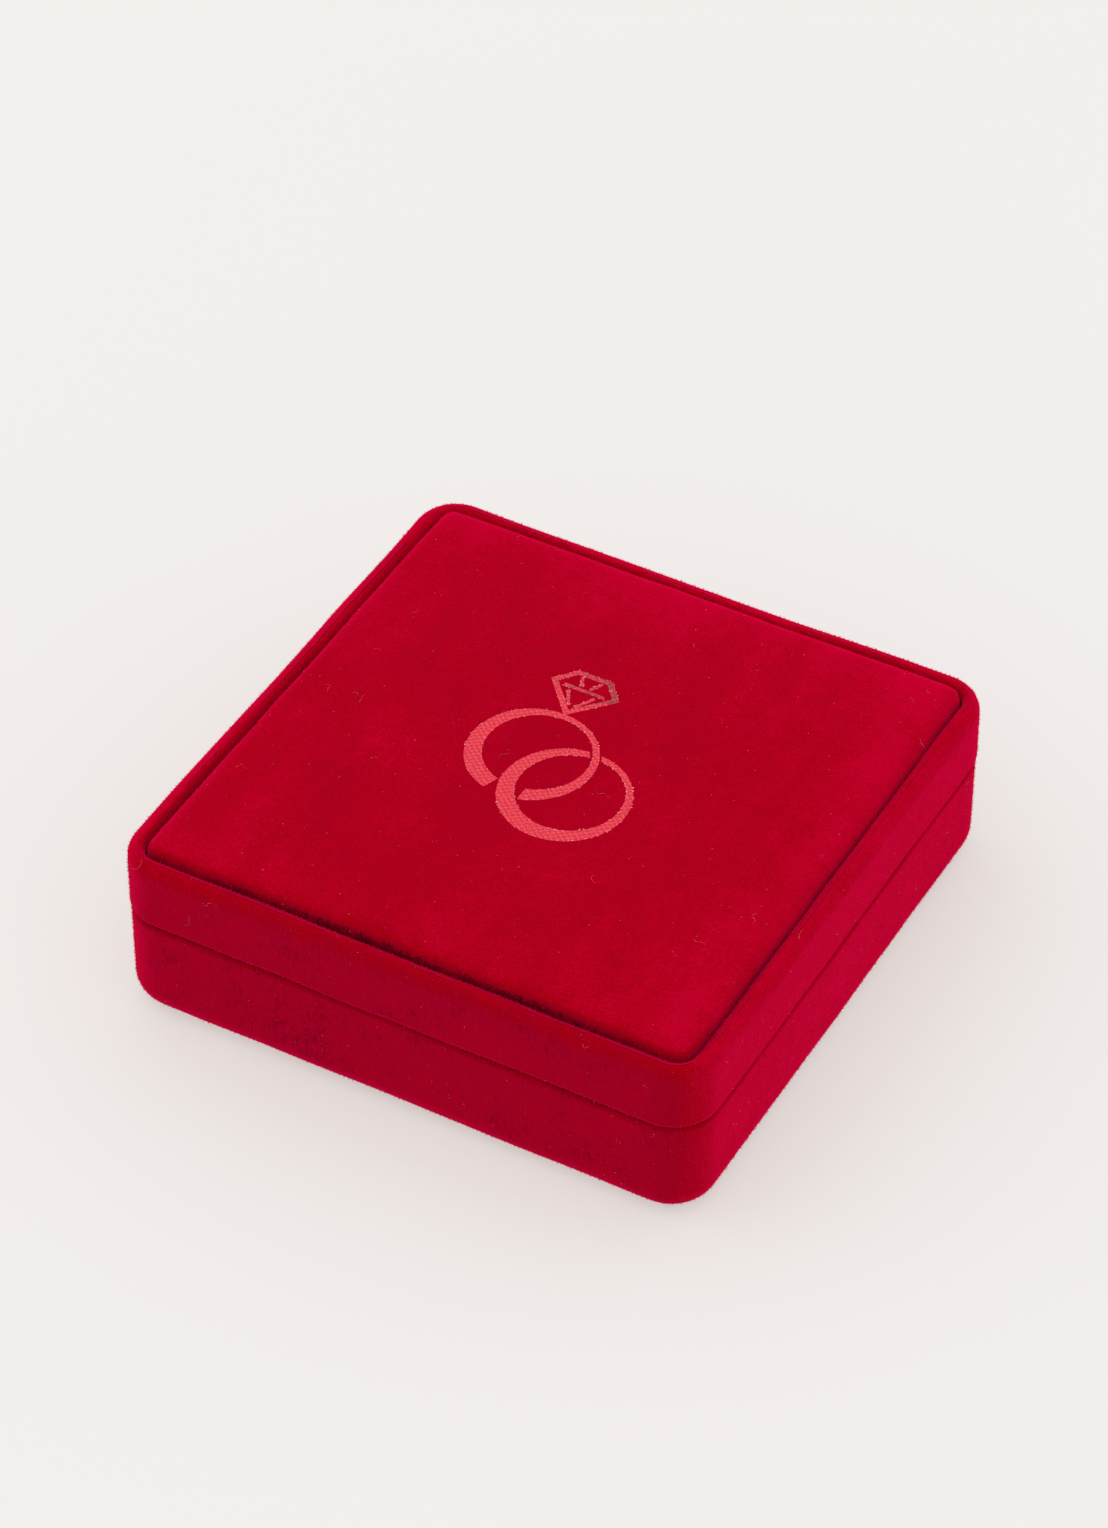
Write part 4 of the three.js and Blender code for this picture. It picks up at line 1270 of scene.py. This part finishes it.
# %% [markdown]
# ## Velvet
# Velvet looks darkest straight on, where one sees down between the fibres, and lightest at a
# glancing angle, where their sides catch light. That is the shader's sheen. Its red is
# nearly pure. Hands leave slow patches where the nap leans, and fine grain comes from tufts
# of pile.

# %% Velvet
def velvet(name, deep, even, light):
    """Tones by the attribute of painted shade and sheen plus noise: deep at -1, even at 0 and
    light at 1. From -1 to -2 the deep tone sinks to the dark of a fold that light doesn't reach,
    a painted shade."""
    finish = Finish(name)
    # the stored painted shade and sheen
    lean = finish.node("Attribute", {}, attribute_name="painted_shade_and_sheen").outputs["Fac"]
    brushed = finish.noise(6 * MM, 4.0, stretch=(1.0, 0.3, 1.0), turn=(0, 0, math.radians(28)))
    patches = finish.noise(24 * MM, 3.0)
    marks = finish.noise(2.2 * MM, 3.0)
    tufts = finish.noise(0.55 * MM, 3.0, stretch=(1.0, 1.0, 0.35))
    grain = finish.noise(0.22 * MM, 2.0)
    for noise, size in ((patches, 0.24), (brushed, 0.26), (marks, 0.2),
                        (tufts, 0.36), (grain, 0.5)):
        lean = finish.math("ADD", lean, finish.range(noise, 0.3, 0.7, -size, size))
    tone = finish.mix(finish.range(lean, -1, 0, 0, 1), deep, even)
    tone = finish.mix(finish.range(lean, 0, 1, 0, 1), tone, light)
    tone = finish.mix(finish.range(lean, -2, -1.3, 1, 0), tone, FOLD_SHADE)
    finish.surface(Base_Color=tone, Roughness=0.95, Sheen_Weight=1.0,
                   Sheen_Roughness=0.5, Sheen_Tint=PINK_SHEEN)
    finish.no_gloss()
    pile = finish.math("ADD", finish.math("MULTIPLY", tufts, 0.5),
                       finish.math("MULTIPLY", grain, 0.5))
    finish.bump(pile, 0.16 * MM, 0.8)
    return finish


PINK_SHEEN = (1.0, 0.004, 0.10, 1.0)
FOLD_SHADE = (0.06, 0.0, 0.002, 1.0)
# deep is the painted shade tone, light the painted sheen tone, even the velvet's own red
red_velvet = velvet("red velvet", (0.262, 0.0, 0.0085, 1), (0.312, 0.0, 0.0024, 1),
                    (0.43, 0.0, 0.016, 1))
lining_velvet = velvet("lining velvet", (0.25, 0.0, 0.005, 1), (0.31, 0.0, 0.006, 1),
                       (0.42, 0.0, 0.012, 1))
dress(red_velvet, base_velvet, lid_velvet, top_panel)
dress(lining_velvet, ring_pad, base_lining)

# %% [markdown]
# ## Foil
# Thin red metal foil over cloth is not a mirror: the weave's dimples show through as a
# lattice of darker dots, the edges crinkle and glint, and at a corner where the die pressed
# lightly the foil is mottled and the velvet shows through.

# %% Foil
WEAVE_PITCH = (1.2 * MM, 0.95 * MM)


def foil_finish():
    finish = Finish("red foil")
    split = finish.node("SeparateXYZ", {"Vector": finish.spot})
    across, along = (
        finish.math("SINE", finish.math("MULTIPLY", split.outputs[axis], 2 * math.pi / pitch))
        for axis, pitch in zip("XY", WEAVE_PITCH))
    dots = finish.math("MULTIPLY", across, along)
    dimples = finish.math("ADD", finish.range(dots, -1, 1, 0, 1),
                          finish.range(finish.noise(0.35 * MM, 2.0), 0.3, 0.7, -0.5, 0.5))
    tone = finish.mix(finish.range(dimples, 0.2, 1.0, 0, 1), colour(200, 36, 54),
                      colour(236, 70, 88))
    worn = finish.math("ADD", finish.noise(0.6 * MM, 3.0),
                       finish.range(split.outputs["X"], -8 * MM, -2 * MM, -0.1, 0.03))
    high_up = finish.range(split.outputs["Y"], 11.5 * MM, 16 * MM, -0.2, 0.04)
    worn = finish.range(finish.math("ADD", worn, high_up), 0.5, 0.56, 0, 1)
    finish.surface(Base_Color=finish.mix(worn, tone, colour(128, 6, 26)),
                   Metallic=finish.range(worn, 0, 1, 0.75, 0),
                   Roughness=finish.range(dimples, 0, 1, 0.3, 0.46))
    finish.bump(dimples, 0.05 * MM, 0.6)
    return finish


dress(foil_finish(), foil)


def glint_finish():
    finish = Finish("foil glint")
    # the near-white tone is a painted glint
    tone = finish.mix(finish.noise(0.7 * MM, 1.0), colour(240, 96, 112), colour(255, 214, 220))
    finish.surface(Base_Color=tone, Metallic=0.5, Roughness=0.3)
    return finish


dress(glint_finish(), glints)

# %% [markdown]
# ## Pile ends and lint
# Single pile ends catch light on their sides; their tone, lighter than the velvet's face, is
# painted sheen. Lint is paler still, a pale pink.

# %% Pile and lint
def fibre_finish(name, dark, light):
    """Two tones by a fine noise, so that neighbouring fibres differ."""
    finish = Finish(name)
    tone = finish.mix(finish.range(finish.noise(0.3 * MM, 1.0), 0.35, 0.65, 0, 1), dark, light)
    finish.surface(Base_Color=tone, Roughness=0.8, Sheen_Weight=0.4)
    finish.no_gloss()
    finish.shader.inputs["Sheen Tint"].default_value = PINK_SHEEN
    return finish


# the pile ends' lighter tones are painted sheen
dress(fibre_finish("pile ends", (0.42, 0.001, 0.016, 1), (0.72, 0.006, 0.045, 1)),
      pile_lid, pile_base)
dress(fibre_finish("pale lint", colour(246, 128, 142), colour(255, 205, 208)),
      lint_lid, lint_base, bits_lid, bits_base)

# %% [markdown]
# ## Satin, plastic, card and steel
# The lining satin is a warm white with a soft shine along its threads. The moulded shells,
# seen only where a cover ends, are dark plastic with a fine moulded texture. The cards are
# grey board with specks of fibre. The hinge is nickel-plated steel, brushed along its
# length, with fine scratches.

# %% Satin
def satin_finish():
    finish = Finish("cream satin")
    threads = finish.noise(0.12 * MM, 2.0, stretch=(1.0, 0.12, 1.0))
    shade = finish.noise(9 * MM, 2.0)
    tone = finish.mix(finish.range(shade, 0.3, 0.7, 0, 1), colour(232, 222, 208),
                      colour(243, 236, 224))
    tone = finish.mix(finish.range(threads, 0.3, 0.7, 0, 0.16), tone, colour(206, 192, 176))
    finish.surface(Base_Color=tone, Roughness=finish.range(threads, 0.3, 0.7, 0.3, 0.42),
                   Sheen_Weight=0.25, Sheen_Roughness=0.3, Anisotropic=0.5)
    finish.bump(threads, 0.02 * MM, 0.5)
    return finish


dress(satin_finish(), lid_lining, satin_pad)

# %% Plastic, card, underside
def grained(name, dark, light, size, rough, depth):
    """A matt finish: two tones mixed by noise of a size, with the same noise as its bump."""
    finish = Finish(name)
    coarse = finish.noise(size * 8, 3.0)
    fine = finish.noise(size, 3.0)
    share = finish.math("ADD", finish.range(coarse, 0.3, 0.7, 0, 0.5),
                        finish.range(fine, 0.3, 0.7, 0, 0.5))
    finish.surface(Base_Color=finish.mix(share, dark, light),
                   Roughness=finish.range(fine, 0.3, 0.7, rough - 0.08, rough + 0.08))
    finish.bump(fine, depth, 0.6)
    return finish


dress(grained("moulded plastic", colour(42, 12, 16), colour(54, 16, 21), 0.3 * MM, 0.55,
              0.02 * MM), "base_shell", "lid_shell")
dress(grained("grey card", colour(150, 144, 134), colour(176, 169, 157), 0.4 * MM, 0.85,
              0.03 * MM), "panel_board", "pad_board", "lining_board")
flock = grained("flocked card", colour(88, 6, 18), colour(112, 8, 24), 0.22 * MM, 0.9, 0.05 * MM)
flock.surface(Sheen_Weight=0.35, Sheen_Roughness=0.45)
dress(flock, underside)

# %% Plated steel
def steel_finish():
    finish = Finish("nickel plate")
    brushed = finish.noise(0.08 * MM, 3.0, stretch=(0.03, 1.0, 1.0))
    cloud = finish.noise(4 * MM, 3.0)
    finish.surface(Base_Color=finish.mix(finish.range(cloud, 0.35, 0.7, 0, 1),
                                         colour(206, 203, 196), colour(184, 179, 170)),
                   Metallic=1.0, Roughness=finish.range(brushed, 0.3, 0.7, 0.2, 0.36))
    finish.bump(brushed, 0.008 * MM, 0.5)
    return finish


steel = steel_finish()
dress(steel, *[name for name in frame["nodes"] if name.startswith("hinge_")])

# %% [markdown]
# ## Floor and light
# The box stands on a plain warm white floor in a light tent, where nearly equal light comes
# from all round. It is a little stronger from high up on the left, so the floor is faintly
# darker on the right. The floor also glows, a painted light that keeps the shade round the
# foot soft; the glow fades out where the box stands, a painted shade under its foot. The
# tent is the world's background, so the floor keeps one tone from edge to edge.

# %% Floor
FLOOR_SIZE = 3.0
FLOOR_GLOW = 0.5
CORNER_CUT = (HALF - CORNER) * (math.sqrt(2) - 1)


def make_floor():
    """A flat sheet under the box, its tone drifting slightly as paper does."""
    half = FLOOR_SIZE / 2
    corners = np.array([[-half, -half, 0], [half, -half, 0], [half, half, 0], [-half, half, 0]])
    floor = link_mesh("floor", corners, np.array([[0, 1, 2, 3]]), smooth=False)
    finish = Finish("warm paper")
    cloud = finish.noise(0.5, 2.0)
    fine = finish.noise(0.6 * MM, 3.0)
    tone = finish.mix(finish.range(cloud, 0.3, 0.7, 0, 1), colour(156, 154, 152),
                      colour(158, 156, 154))
    finish.surface(Base_Color=finish.mix(finish.range(fine, 0.3, 0.7, 0, 0.1), tone,
                                         colour(150, 147, 145)), Roughness=0.9)
    finish.no_gloss()
    split = finish.node("SeparateXYZ", {"Vector": finish.spot})
    across, along = (finish.math("ABSOLUTE", split.outputs[axis]) for axis in "XY")
    slant = finish.math("MULTIPLY", finish.math("ADD", across, along), math.sqrt(0.5))
    out = finish.math("MAXIMUM", finish.math("MAXIMUM", across, along),
                      finish.math("SUBTRACT", slant, CORNER_CUT))
    # painted light: the floor glows, fading to none under the box as a painted shade
    glow = finish.range(out, HALF - 7.5 * MM, HALF - 2.5 * MM, 0, FLOOR_GLOW)
    finish.shader.inputs["Emission Color"].default_value = (1.0, 0.972, 0.955, 1.0)
    finish.surface(Emission_Strength=glow)
    dress(finish, floor)
    return floor


make_floor()

# %% Light tent
TENT = 1.0
LAMPS = (((-0.6, -0.15, 0.75), 0.5, 3.0), ((0.7, 0.6, 0.4), 0.12, 2.0))


def light_tent():
    """Background light from direction d: even light, plus for each lamp with direction l a
    lobe of strength * max(0, d . l) ^ sharpness."""
    world = bpy.data.worlds.new("light tent")
    world.use_nodes = True
    tree = world.node_tree
    way = tree.nodes.new("ShaderNodeTexCoord").outputs["Generated"]
    total = TENT
    for direction, strength, sharpness in LAMPS:
        dot = tree.nodes.new("ShaderNodeVectorMath")
        dot.operation = "DOT_PRODUCT"
        tree.links.new(way, dot.inputs[0])
        dot.inputs[1].default_value = Vector(direction).normalized()
        lobe = dot.outputs["Value"]
        for operation, second in (("MAXIMUM", 0.0), ("POWER", sharpness),
                                  ("MULTIPLY", strength), ("ADD", total)):
            step = tree.nodes.new("ShaderNodeMath")
            step.operation = operation
            tree.links.new(lobe, step.inputs[0])
            if isinstance(second, bpy.types.NodeSocket):
                tree.links.new(second, step.inputs[1])
            else:
                step.inputs[1].default_value = second
            lobe = step.outputs[0]
        total = lobe
    background = tree.nodes["Background"]
    background.inputs["Color"].default_value = (1.0, 0.985, 0.978, 1.0)
    tree.links.new(total, background.inputs["Strength"])
    scene.world = world


light_tent()
scene.view_settings.view_transform = "Standard"
